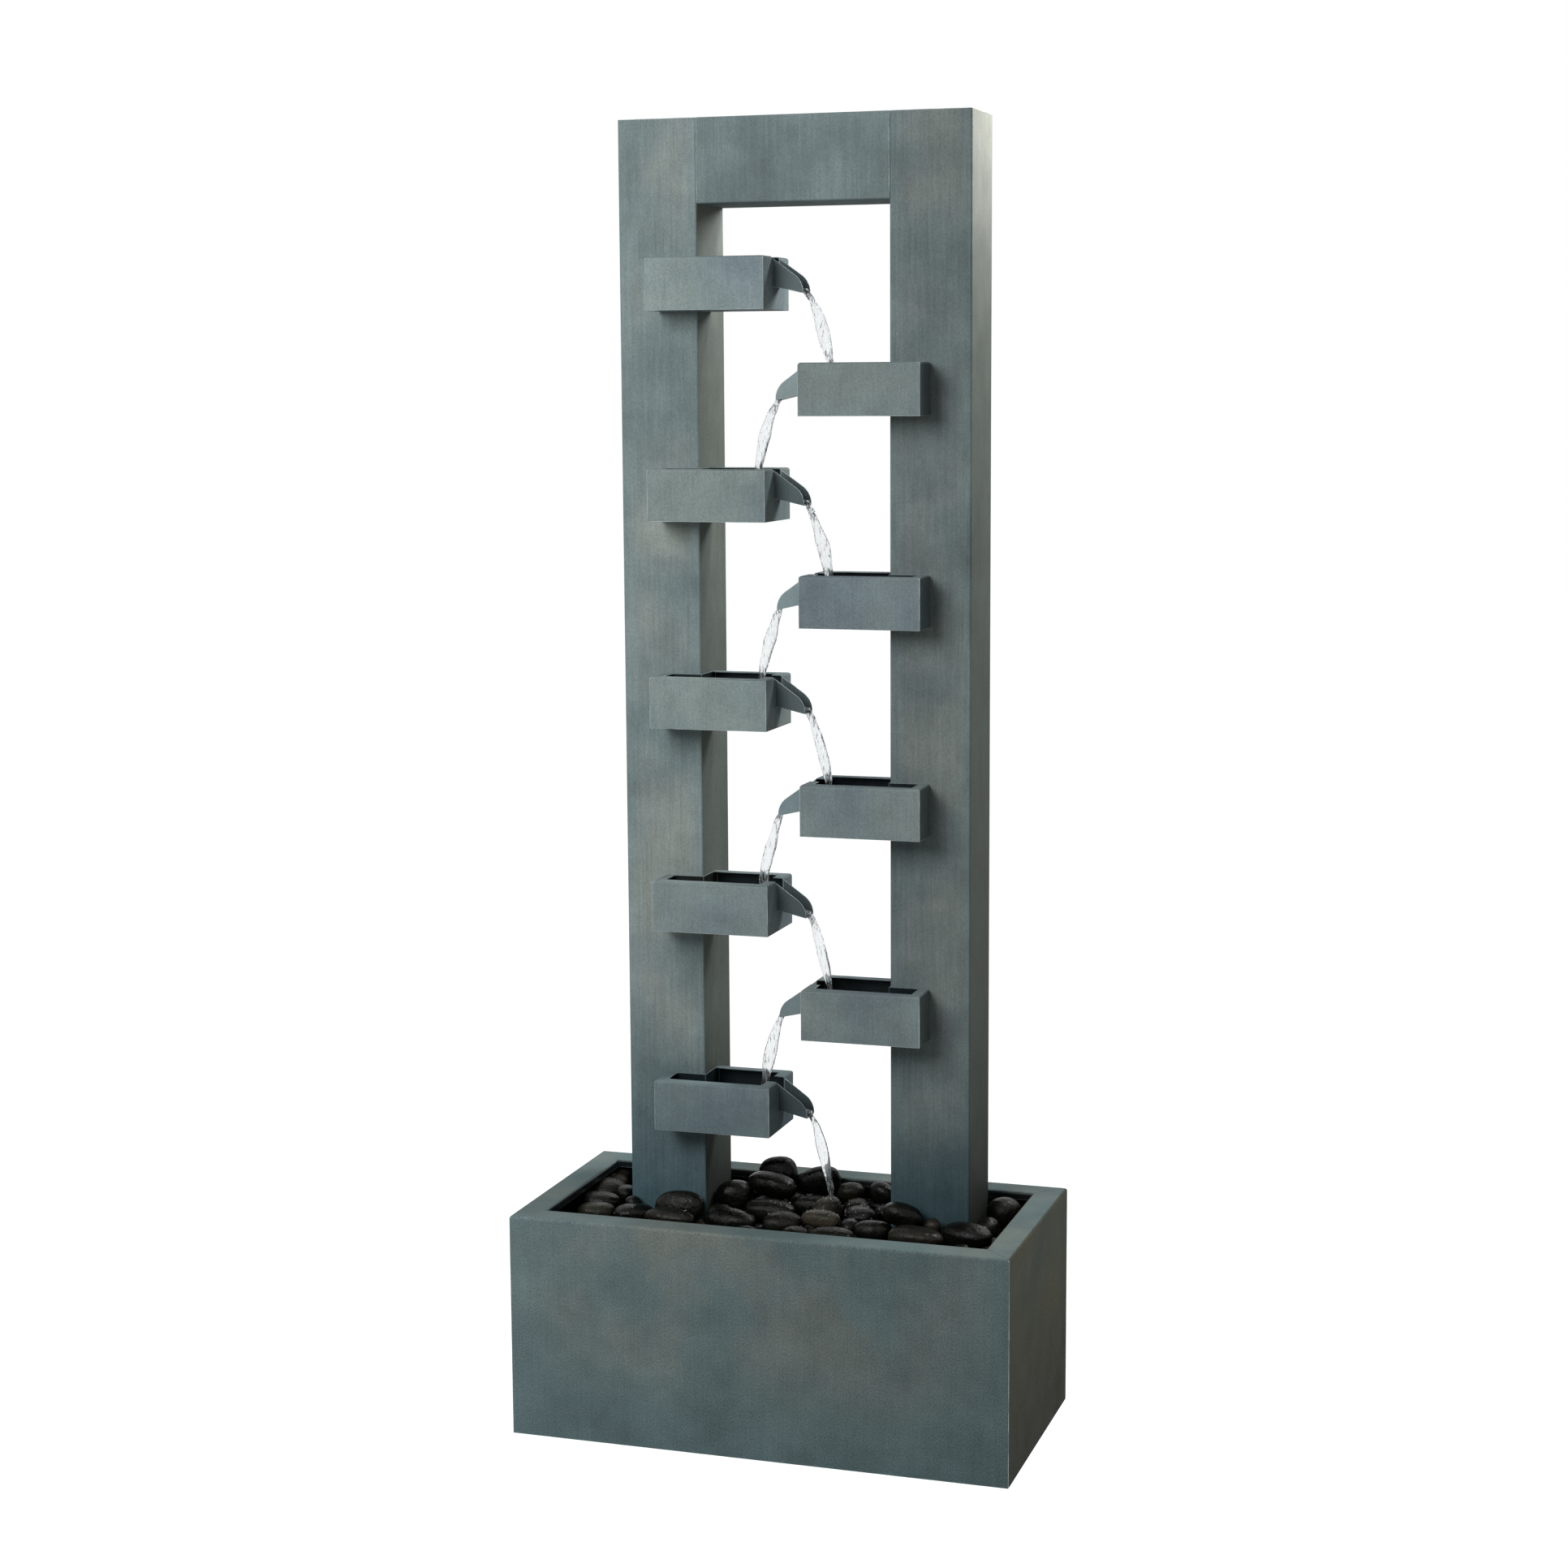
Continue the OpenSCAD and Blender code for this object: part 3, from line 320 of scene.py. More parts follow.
# Basin floor, tray and its angles
# Plain zinc-coated sheet that stays wet, painted nearly black for the shade under the stones: the
# floor pan is soldered into the walls, two angles carry the tray, and the tray is punched with
# drain holes and bent down round its edge.
for node, name in (("basin_floor", "floor_pan"), ("tray_ledge_front", "front_tray_angle"),
                   ("tray_ledge_rear", "rear_tray_angle"), ("stone_tray", "punched_tray")):
    dressed(node, name, [wet_shaded_zinc], 0.25 * MM)

# Frame
# Two posts and a beam, each a closed box folded from the same sheet. The posts run the full height,
# the beam is soldered between them, and both posts stand over sockets on the basin's floor.

# Fronts: cloudy blue-grey with a warmer middle to each sheet
frame_zinc = weathered_zinc_and_painted_light("weathered_zinc_frame", "#7e8b8b", "#848a85", "#485e65", (0.18, 0.42),
                            streak=0.1, speck=0.15, cloudy=0.2, panel=(0.13525, 0.03975))
# Sides that face right: a plainer, neutral grey with painted light and shade, light at the top
# where the high lamp falls, darker below, and darkest in painted shade at the foot by the stones
frame_side_light_and_shade = weathered_zinc_and_painted_light("zinc_frame_side_painted_light", "#8a8f8b", "#8d8f88", "#646b65",
                                 (1.0, 1.27), streak=0.08, speck=0.14, foot=0.35)
# Painted light: the left post, nearer the lamp, gets a lighter shade than the right one
for node, shade in (("left_post", 1.27), ("right_post", 0.93), ("top_beam", 1.0)):
    dressed(node, node + "_sheet", [frame_zinc, frame_side_light_and_shade], sheet_edge,
            lambda centre, normal: int(normal.x > 0.9), shade=shade, worn=lambda c: True)
# The sockets too are wet, painted nearly black for the shade at the posts' feet
for node, name in (("left_post_socket", "left_socket"), ("right_post_socket", "right_socket")):
    dressed(node, name, [wet_shaded_zinc], 0.3 * MM)


def turned_metal(name, tint, worn, roughness, turning):
    """Machined metal: fine turning lines, a little dirt in patches, and a dulled sheen."""
    return mottled(name, tint, worn, 0.004, 4.0, (0.35, 0.7), (roughness, roughness + 0.2),
                   ("ShaderNodeTexWave", {"Scale": 1 / turning, "Distortion": 1.0},
                    {"bands_direction": "Y"}, 0.2, 0.00003), Metallic=1.0)


# Stainless screws: a plain, bright grey, with turning lines about 0.4 mm apart
stainless = turned_metal("stainless_steel", "#b9b8b2", "#8d8c86", 0.28, 0.0012)
dressed("post_screws", "pan_head_screws", [stainless], 0.15 * MM)


# Cups
# Nine small boxes folded from 1 mm sheet, with a turned-in rim, notched round the posts' inner
# front corners and soldered on. Outside they are a smoother blue-grey, inside wet and painted black
# for the shade in them.

cup_zinc = weathered_zinc_and_painted_light("weathered_zinc_cup", "#869398", "#899490", "#5a6c72", (0.18, 0.42),
                          streak=0.07, speck=0.15, cloudy=0.15)
# The right-hand cups' outer ends lie in the posts' shadow, given painted shade as a darker finish
cup_end_shaded_zinc = weathered_zinc_and_painted_light("zinc_cup_end_painted_shade", "#5b676d", "#5f6865", "#414f55",
                              (0.18, 0.42), streak=0.07, speck=0.18)
cup_count = 9
# Painted light and shade per cup: the left-hand ones, nearer the lamp, lighter; partly weathering
# too
cup_shades = (1.17, 0.93, 1.0, 1.0, 1.12, 0.98, 1.07, 0.98, 1.08)
# How deep in a cup a face counts as inside: behind its walls, and below its rim too
wall_depth, lip_depth = 0.7 * MM, 3 * MM
# Further back than this the edges lie against the post and are soldered, not rubbed
soldered_y = 14 * MM
for i in range(1, cup_count + 1):
    low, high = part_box(f"cup_{i}")

    def outside_or_inside(centre, normal):
        # Painted shade on a right-hand cup's outer end
        if normal.x > 0.9 and centre.x > high.x - wall_depth and low.x > 0:
            return 2
        depth = min(centre.x - low.x, high.x - centre.x, centre.y - low.y, high.y - centre.y,
                    centre.z - low.z, high.z - centre.z)
        return 1 if depth > wall_depth and normal.z < 0.9 or depth > lip_depth else 0

    dressed(f"cup_{i}", f"cup_{i}_folded", [cup_zinc, wet_shaded_zinc, cup_end_shaded_zinc],
            sheet_edge, outside_or_inside, shade=cup_shades[i - 1],
            worn=lambda c: c.y < soldered_y)

# Spouts
# Each is a small chute with two cheeks, cut and bent from the same sheet and soldered below the
# notch in its cup's end. The water keeps them half wet, with a soft sheen.
spout_zinc = weathered_zinc_and_painted_light("weathered_zinc_spout", "#7d8d90", "#7f8b8c", "#6a797d", (0.2, 0.62),
                            streak=0.04, wet=0.5)
# Painted light and shade per spout: the right-hand ones lighter, the left-hand ones darker, and
# darker the lower they are
spout_shades = [1.32 if i % 2 == 0 else 0.62 - 0.02 * i for i in range(1, cup_count + 1)]
for i, shade in enumerate(spout_shades, 1):
    dressed(f"spout_{i}", f"spout_{i}_folded", [spout_zinc], 0.25 * MM,
            shade=shade, worn=lambda c: True)

# Solder
# Thin beads of tin solder run round the foot of every spout, and short tacks hold the cups on the
# posts. They are lumpy and have dulled to the sheet's grey, with a soft shine.
solder = mottled("tin_solder", "#4a5658", "#7b8584", 0.002, 3.0, (0.0, 1.0), (0.5, 0.5),
                 ("ShaderNodeTexNoise", {"Scale": 1 / 0.002, "Detail": 3.0}, {}, 0.5, 0.0002),
                 **{"Metallic": 0.15, "Specular IOR Level": 0.1})


def node_group(name, inputs):
    """An empty geometry tree; returns the tree, its inputs and each input's identifier."""
    group = bpy.data.node_groups.new(name, "GeometryNodeTree")
    group.interface.new_socket("Geometry", in_out="INPUT", socket_type="NodeSocketGeometry")
    identifiers = {}
    for title, kind in inputs.items():
        made = group.interface.new_socket(title, in_out="INPUT", socket_type=kind)
        identifiers[title] = made.identifier
    group.interface.new_socket("Geometry", in_out="OUTPUT", socket_type="NodeSocketGeometry")
    return group, group.nodes.new("NodeGroupInput").outputs, identifiers


def end_group(tree, geometry, finish):
    """Ends a geometry tree: the geometry smooth, as a plain mesh, in the given finish."""
    shaded = add(tree, "GeometryNodeSetShadeSmooth", {"Geometry": geometry})
    whole = add(tree, "GeometryNodeRealizeInstances", {"Geometry": shaded.outputs[0]})
    coated = add(tree, "GeometryNodeSetMaterial",
                 {"Geometry": whole.outputs[0], "Material": finish})
    add(tree, "NodeGroupOutput", {0: coated.outputs[0]})


def grown(piece, group, identifiers, values):
    """Runs a geometry tree on a piece with the given inputs and keeps the result as its mesh."""
    modifier = piece.modifiers.new("grown", "NODES")
    modifier.node_group = group
    for title, value in values.items():
        modifier[identifiers[title]] = value
    made_solid(piece)


bead, bead_in, bead_ids = node_group("solder_bead", {
    "Radius": "NodeSocketFloat", "Spacing": "NodeSocketFloat", "Unevenness": "NodeSocketFloat",
    "Seed": "NodeSocketInt", "Finish": "NodeSocketMaterial"})
line = add(bead, "GeometryNodeMeshToCurve", {"Mesh": bead_in["Geometry"]})
points = add(bead, "GeometryNodeResampleCurve",
             {"Curve": line.outputs[0], "Length": bead_in["Spacing"]}, mode="LENGTH")
spread = add(bead, "FunctionNodeRandomValue",
             {"Seed": bead_in["Seed"], 2: 0.6, 3: 1.25}, data_type="FLOAT")
width = add(bead, "ShaderNodeMath", {0: spread.outputs[1], 1: bead_in["Radius"]},
            operation="MULTIPLY")
ring = add(bead, "GeometryNodeCurvePrimitiveCircle", {"Resolution": 8, "Radius": 1.0})
tube = add(bead, "GeometryNodeCurveToMesh",
           {"Curve": points.outputs[0], "Profile Curve": ring.outputs[0],
            "Scale": width.outputs[0], "Fill Caps": True})
wander = add(bead, "ShaderNodeTexNoise", {"Scale": 1 / 0.0015, "Detail": 2.0})
centred = add(bead, "ShaderNodeVectorMath", {0: wander.outputs["Color"], 1: (0.5, 0.5, 0.5)},
              operation="SUBTRACT")
push = add(bead, "ShaderNodeVectorMath",
           {0: centred.outputs[0], "Scale": bead_in["Unevenness"]}, operation="SCALE")
rough_tube = add(bead, "GeometryNodeSetPosition",
                 {"Geometry": tube.outputs[0], "Offset": push.outputs[0]})
end_group(bead, rough_tube.outputs[0], bead_in["Finish"])


bead_radius = 0.8 * MM


def bead_along(name, paths, seed):
    """One piece of solder along several open paths, given as lists of points."""
    mesh = bpy.data.meshes.new(name)
    corners = [point for path in paths for point in path]
    edges, start = [], 0
    for path in paths:
        edges += [(start + k, start + k + 1) for k in range(len(path) - 1)]
        start += len(path)
    mesh.from_pydata(corners, edges, [])
    piece = placed(name, mesh)
    grown(piece, bead, bead_ids, {"Radius": bead_radius, "Spacing": 0.9 * MM,
                                  "Unevenness": 0.5 * bead_radius, "Seed": seed, "Finish": solder})
    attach(piece, "fountain")


def cup_and_spout(i):
    """The boxes of a cup and its spout, the side they are on (1 right, -1 left), and how far the
    cup's near and far ends are from the fountain's middle."""
    cup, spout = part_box(f"cup_{i}"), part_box(f"spout_{i}")
    near_x, far_x = sorted((abs(cup[0].x), abs(cup[1].x)))
    return *cup, *spout, 1 if cup[0].x > 0 else -1, near_x, far_x


post_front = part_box("left_post")[0].y
post_inner = -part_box("left_post")[1].x
# Below a cup's rim: the top of the beads beside its spout, and the underside of the spout's foot
bead_top, spout_root = 4 * MM, 28.6 * MM
# Two tacks up the cup's outer end and two along its bottom, as shares of its height and length
tacks_up, tacks_along = (0.3, 0.72), (0.25, 0.8)
# How far the middle of a bead stands off the sheet
off = 0.2 * MM
for i in range(1, cup_count + 1):
    cup_low, cup_high, spout_low, spout_high, s, near_x, far_x = cup_and_spout(i)
    foot, root_z = s * near_x - s * 0.3 * MM, cup_high.z - spout_root
    near_y, back_y = spout_low.y - off, spout_high.y + off
    spout_foot = [(foot, near_y, cup_high.z - bead_top), (foot, near_y, root_z),
                  (foot, back_y, root_z), (foot, back_y, cup_high.z - bead_top)]
    bead_along(f"solder_spout_{i}", [spout_foot], i)
    outer_x, inner_x = s * far_x + s * 0.1 * MM, s * (post_inner - off)
    below = cup_low.z - off
    tacks = []
    for up in tacks_up:
        z = cup_low.z + up * (cup_high.z - cup_low.z)
        tacks.append([(outer_x, post_front, z - 1.5 * MM), (outer_x, post_front, z + 2 * MM)])
    for along in tacks_along:
        x = inner_x + along * (outer_x - inner_x)
        tacks.append([(x - 3 * MM, post_front, below), (x + 3 * MM, post_front, below)])
    tacks.append([(inner_x, cup_high.y, cup_high.z - 6 * MM), (inner_x, cup_high.y, cup_high.z)])
    bead_along(f"solder_cup_{i}", tacks, 20 + i)


# Water inlet and supply hose
# A turned brass nipple passes through the left post into the first cup, held by a hexagon nut on a
# rubber washer. A clear vinyl hose, clouded by use, brings the water up inside the post.

# Yellow brass, browned in patches, with turning lines about 0.5 mm apart
brass = turned_metal("turned_brass", "#b59452", "#7d6437", 0.3, 0.0015)
for node, name in (("inlet_nipple", "brass_nipple"), ("inlet_nut", "brass_nut")):
    dressed(node, name, [brass], 0.2 * MM)


def moulded(name, tint, faded, roughness, grit, coat=0.0):
    """Moulded rubber or plastic: an even colour that fades in soft patches, with a fine grit."""
    return mottled(name, tint, faded, 0.018, 3.0, (0.3, 0.75), (roughness - 0.06, roughness + 0.1),
                   ("ShaderNodeTexNoise", {"Scale": 1 / grit, "Detail": 1.0}, {}, 0.25, 0.00005),
                   **{"Coat Weight": coat})


# Black rubber: dull and a little grey where it has aged
rubber = moulded("black_rubber", "#1c1c1d", "#2a2a2a", 0.62, 0.0006)
for node, name in (("inlet_washer", "rubber_washer"), ("cord_grommet", "rubber_grommet"),
                   ("pump_cord_gland", "rubber_gland"), ("pump_suckers", "suction_feet"),
                   ("shaft_bushes", "rubber_bushes")):
    dressed(node, name, [rubber], 0.2 * MM)

# Soft vinyl that lets light through but has gone milky, from glossy to satin
vinyl = mottled("clear_vinyl_tube", "#c4cfc9", "#a2ada2", 0.02, 3.0, (0.0, 1.0), (0.08, 0.3),
                **{"IOR": 1.53, "Transmission Weight": 0.7})
dressed("supply_hose", "vinyl_hose", [vinyl], 0.2 * MM, smooth=60.0)

# Pump
# A small submersible pump: housing, intake cover, volute cover and outlet moulded in black ABS, an
# impeller moulded over a ferrite magnet, a ground alumina shaft and a blue flow dial.

# ABS straight from the mould: nearly black, satin, with a fine spark-eroded grit
abs_black = moulded("moulded_abs_black", "#191a1c", "#26282a", 0.42, 0.0009)
abs_grey = moulded("moulded_abs_grey", "#232528", "#2f3235", 0.38, 0.0009)
for node, name, finish in (("pump_housing", "housing_moulding", abs_black),
                           ("pump_strainer", "strainer_moulding", abs_black),
                           ("pump_volute_cover", "volute_moulding", abs_grey),
                           ("pump_outlet", "outlet_moulding", abs_grey)):
    dressed(node, name, [finish], 0.3 * MM)
# Plastic filled with ferrite: dark grey and duller than the housing
ferrite = moulded("moulded_impeller", "#33363b", "#44474b", 0.45, 0.0007)
dressed("pump_rotor", "rotor_moulding", [ferrite], 0.15 * MM)
# A glossier plastic in greyed blue, so that the dial is found by eye
dial_blue = moulded("moulded_dial_blue", "#2c6a8a", "#3f7d9c", 0.35, 0.0008, coat=0.1)
dressed("pump_flow_dial", "dial_moulding", [dial_blue], 0.25 * MM)
# Ground ceramic: ivory white with a low, smooth gloss
alumina = moulded("ground_alumina", "#e9e4d8", "#d9d3c4", 0.22, 0.0004)
dressed("pump_shaft", "ceramic_shaft", [alumina], 0.2 * MM)


# River stones
# Loose black river pebbles, tumbled smooth and wet, a few of them olive or brown. A bed of them
# fills the tray, the largest lie on top as in the photograph, and a heap rises between the posts.

# Wet stone: nearly black, its gloss broken up by veins and pits into small glints
stone, tree, place = new_material("wet_river_stone")
tone = add(tree, "ShaderNodeAttribute", attribute_name="tone")
veins = add(tree, "ShaderNodeTexNoise",
            {"Vector": place, "Scale": 1 / 0.014, "Detail": 5.0, "Distortion": 0.6})
flecks = add(tree, "ShaderNodeTexNoise", {"Vector": place, "Scale": 1 / 0.0015, "Detail": 2.0})
vein_share = add(tree, "ShaderNodeMapRange",
                 {"Value": veins.outputs["Fac"], "From Min": 0.42, "From Max": 0.72})
dark, pale = [add(tree, "ShaderNodeMix",
                  {0: vein_share.outputs[0], 6: colour(plain), 7: colour(vein)}, data_type="RGBA")
              for plain, vein in (("#050605", "#121410"), ("#4a4337", "#2f312a"))]
body = add(tree, "ShaderNodeMix", {0: tone.outputs["Fac"], 6: dark.outputs[2], 7: pale.outputs[2]},
           data_type="RGBA")
fleck_tone = add(tree, "ShaderNodeMapRange",
                 {"Value": flecks.outputs["Fac"], "From Min": 0.35, "From Max": 0.7,
                  "To Min": 0.8, "To Max": 1.25})
base = add(tree, "ShaderNodeMix", {0: 1.0, 6: body.outputs[2], 7: fleck_tone.outputs[0]},
           data_type="RGBA", blend_type="MULTIPLY")
rough = add(tree, "ShaderNodeMapRange",
            {"Value": veins.outputs["Fac"], "From Min": 0.35, "From Max": 0.65,
             "To Min": 0.06, "To Max": 0.42})
pits = add(tree, "ShaderNodeTexNoise", {"Vector": place, "Scale": 1 / 0.005, "Detail": 4.0})
relief = add(tree, "ShaderNodeMath", {0: pits.outputs["Fac"], 1: 4.0, 2: flecks.outputs["Fac"]},
             operation="MULTIPLY_ADD")
bump = add(tree, "ShaderNodeBump",
           {"Strength": 0.6, "Distance": 0.0005, "Height": relief.outputs[0]})
shader = add(tree, "ShaderNodeBsdfPrincipled",
             {"Base Color": base.outputs[2], "Roughness": rough.outputs[0],
              "Specular IOR Level": 0.13, "Normal": bump.outputs[0]})
add(tree, "ShaderNodeOutputMaterial", {"Surface": shader.outputs[0]})

# The free space over the tray, in millimetres, as a grid of heights that each stone raises
grid = 1.5
tray_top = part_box("stone_tray")[1].z / MM
half_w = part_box("basin_floor")[1].x / MM - 0.5
half_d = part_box("basin_floor")[1].y / MM - 0.5
mouth_w = -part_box("basin_left_side")[1].x / MM
mouth_d = -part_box("basin_front")[1].y / MM
# Under the rim a stone has to stay below the turned-down lip
lip_z = rim_top / MM - 8.5
columns = np.arange(-half_w, half_w, grid)
rows = np.arange(-half_d, half_d, grid)
ground_x, ground_y = np.meshgrid(columns, rows, indexing="ij")
blocked = 1000.0
places_tried, most_misses = 60, 15
# The stones that show are laid first, on a flat stand-in for the bed
bed_level = 188.5
ground = np.full(ground_x.shape, bed_level)
ceiling = np.full(ground_x.shape, blocked)
posts = np.zeros(ground_x.shape, bool)
for node in ("left_post", "right_post"):
    low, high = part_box(node)
    posts |= ((ground_x > low.x / MM - 1) & (ground_x < high.x / MM + 1)
              & (ground_y > low.y / MM - 1) & (ground_y < high.y / MM + 1))
ground[posts] = blocked
under_rim = (abs(ground_x) > mouth_w - 1.5) | (abs(ground_y) > mouth_d - 1.5)
draw = np.random.default_rng(41)
# A pebble's lumps stand out a little past its ellipsoid, so it keeps that much more room
swell = 1.03


def spread_matrix(size, turn, tilt_x, tilt_y):
    """Rotation of a stone and the matrix of its ellipsoid."""
    turned = (Matrix.Rotation(tilt_y, 3, "Y") @ Matrix.Rotation(tilt_x, 3, "X")
              @ Matrix.Rotation(turn, 3, "Z"))
    rotation = np.array(turned)
    return rotation, rotation @ np.diag(np.square(size)) @ rotation.T


def resting(x, y, matrix):
    """Height at which an ellipsoid over x, y comes to rest, the cells that it covers and its lower
    and upper surface there, or None where it doesn't fit."""
    reach_x, reach_y = math.sqrt(matrix[0, 0]), math.sqrt(matrix[1, 1])
    if abs(x) + reach_x > half_w or abs(y) + reach_y > half_d:
        return None
    i0, i1 = np.searchsorted(columns, (x - reach_x, x + reach_x))
    j0, j1 = np.searchsorted(rows, (y - reach_y, y + reach_y))
    dx, dy = ground_x[i0:i1, j0:j1] - x, ground_y[i0:i1, j0:j1] - y
    flat = np.linalg.inv(matrix[:2, :2])
    inside = 1 - (flat[0, 0] * dx * dx + 2 * flat[0, 1] * dx * dy + flat[1, 1] * dy * dy)
    covered = inside > 0
    lean = matrix[2, :2] @ flat
    middle = lean[0] * dx + lean[1] * dy
    thick = math.sqrt(matrix[2, 2] - lean @ matrix[:2, 2])
    half = thick * np.sqrt(np.maximum(inside, 0))
    under = ground[i0:i1, j0:j1]
    z = (under - (middle - half))[covered].max()
    upper = z + middle + half
    edge = covered & under_rim[i0:i1, j0:j1]
    if z > blocked / 2 or (upper[edge] > lip_z).any():
        return None
    if (upper > ceiling[i0:i1, j0:j1])[covered].any():
        return None
    return z, (slice(i0, i1), slice(j0, j1)), covered, z + middle - half, upper


def slope_under(x, y, reach):
    """Tilt about X and about Y of the plane that best fits the ground round x, y."""
    near = (ground_x - x) ** 2 + (ground_y - y) ** 2 < reach * reach
    near &= ground < blocked / 2
    if near.sum() < 8:
        return 0.0, 0.0
    fit = np.column_stack([ground_x[near] - x, ground_y[near] - y, np.ones(near.sum())])
    along_x, along_y, _ = np.linalg.lstsq(fit, ground[near], rcond=None)[0]
    limit = 0.3
    return (math.atan(max(-limit, min(limit, along_y))),
            -math.atan(max(-limit, min(limit, along_x))))


def round_ball(subdivisions):
    """Vertices and faces of a ball of radius 1."""
    ball = bmesh.new()
    bmesh.ops.create_icosphere(ball, subdivisions=subdivisions, radius=1.0)
    points = np.array([v.co for v in ball.verts])
    faces = np.array([[v.index for v in f.verts] for f in ball.faces])
    ball.free()
    return points, faces


# The bed has hundreds of stones, mostly hidden, so they have fewer faces than those on top
fine_ball, coarse_ball = round_ball(4), round_ball(3)


def pebble_points(ball_points, size, rotation, place_mm):
    """Vertices of one pebble: a ball made slightly square, lumpy and flat, then turned."""
    square = draw.uniform(2.1, 2.5)
    norm = (np.abs(ball_points) ** square).sum(1) ** (1 / square)
    points = ball_points / norm[:, None]
    waves = draw.normal(0, 1.4, (5, 3))
    lumps = sum(np.sin(ball_points @ w + draw.uniform(0, 6.3)) for w in waves)
    points = points * (0.98 + 0.028 * lumps)[:, None]
    return (points * size) @ rotation.T + place_mm


def lay_stone(heap, x, y, size, turn, tone_value, wanted=0.0, tries=1, spread=0.0):
    """Lays a stone near x, y, where of some tries its top comes nearest to the wanted height, then
    raises the ground and adds it to a heap."""
    best = None
    for k in range(tries):
        away = spread * math.sqrt(k / tries)
        angle = draw.uniform(0, 2 * math.pi)
        px, py = x + away * math.cos(angle), y + away * math.sin(angle)
        rotation, matrix = spread_matrix(size, turn, *slope_under(px, py, 0.8 * size[0]))
        found = resting(px, py, matrix * swell * swell)
        if found:
            summit = found[0] + math.sqrt(matrix[2, 2])
            cost = abs(summit - wanted) + 0.6 * away
            if best is None or cost < best[0]:
                best = (cost, found, rotation, px, py)
    if best is None:
        return
    _, (z, cells, covered, lower, upper), rotation, px, py = best
    ground[cells][covered] = np.maximum(ground[cells][covered], upper[covered])
    undersides[cells][covered] = np.minimum(undersides[cells][covered], lower[covered])
    ball_points, ball_faces = coarse_ball if heap is bed else fine_ball
    points = pebble_points(ball_points, np.array(size), rotation, (px, py, z + 0.3))
    heap.append((points, ball_faces, tone_value))


def fill_bed(level, half_length, tone_share, flat):
    """Adds stones, each at the lowest of some places, until none fits below a level; flat is how
    thick they are for their length."""
    misses = 0
    while misses < most_misses:
        length = draw.uniform(*half_length)
        size = (length, length * draw.uniform(0.72, 0.95), length * flat * draw.uniform(0.9, 1.2))
        best = None
        for _ in range(places_tried):
            px, py = draw.uniform(-half_w, half_w), draw.uniform(-half_d, half_d)
            _, matrix = spread_matrix(size, 0.0, 0.0, 0.0)
            found = resting(px, py, matrix * swell * swell)
            if found and (best is None or found[0] < best[0]):
                best = (found[0], px, py)
        if best is None or best[0] + size[2] > level:
            misses += 1
            continue
        tone_value = draw.uniform(0.1, 0.6) if draw.random() < tone_share else draw.uniform(0, 0.08)
        lay_stone(bed, best[1], best[2], size, 0.0, tone_value)


def stone_heap(name, heap, node):
    """Joins the stones of a heap into one piece that replaces a CAD node."""
    points = np.concatenate([p for p, _, _ in heap]) * MM
    faces = np.concatenate([f + k * len(p) for k, (p, f, _) in enumerate(heap)])
    mesh = bpy.data.meshes.new(name)
    mesh.from_pydata(points.tolist(), [], faces.tolist())
    vary(mesh, "tone", np.repeat([t for _, _, t in heap], len(heap[0][0])).astype(np.float32))
    mesh.shade_smooth()
    mesh.materials.append(stone)
    piece = placed(name, mesh)
    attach(piece, "fountain")
    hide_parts(node)
    return piece


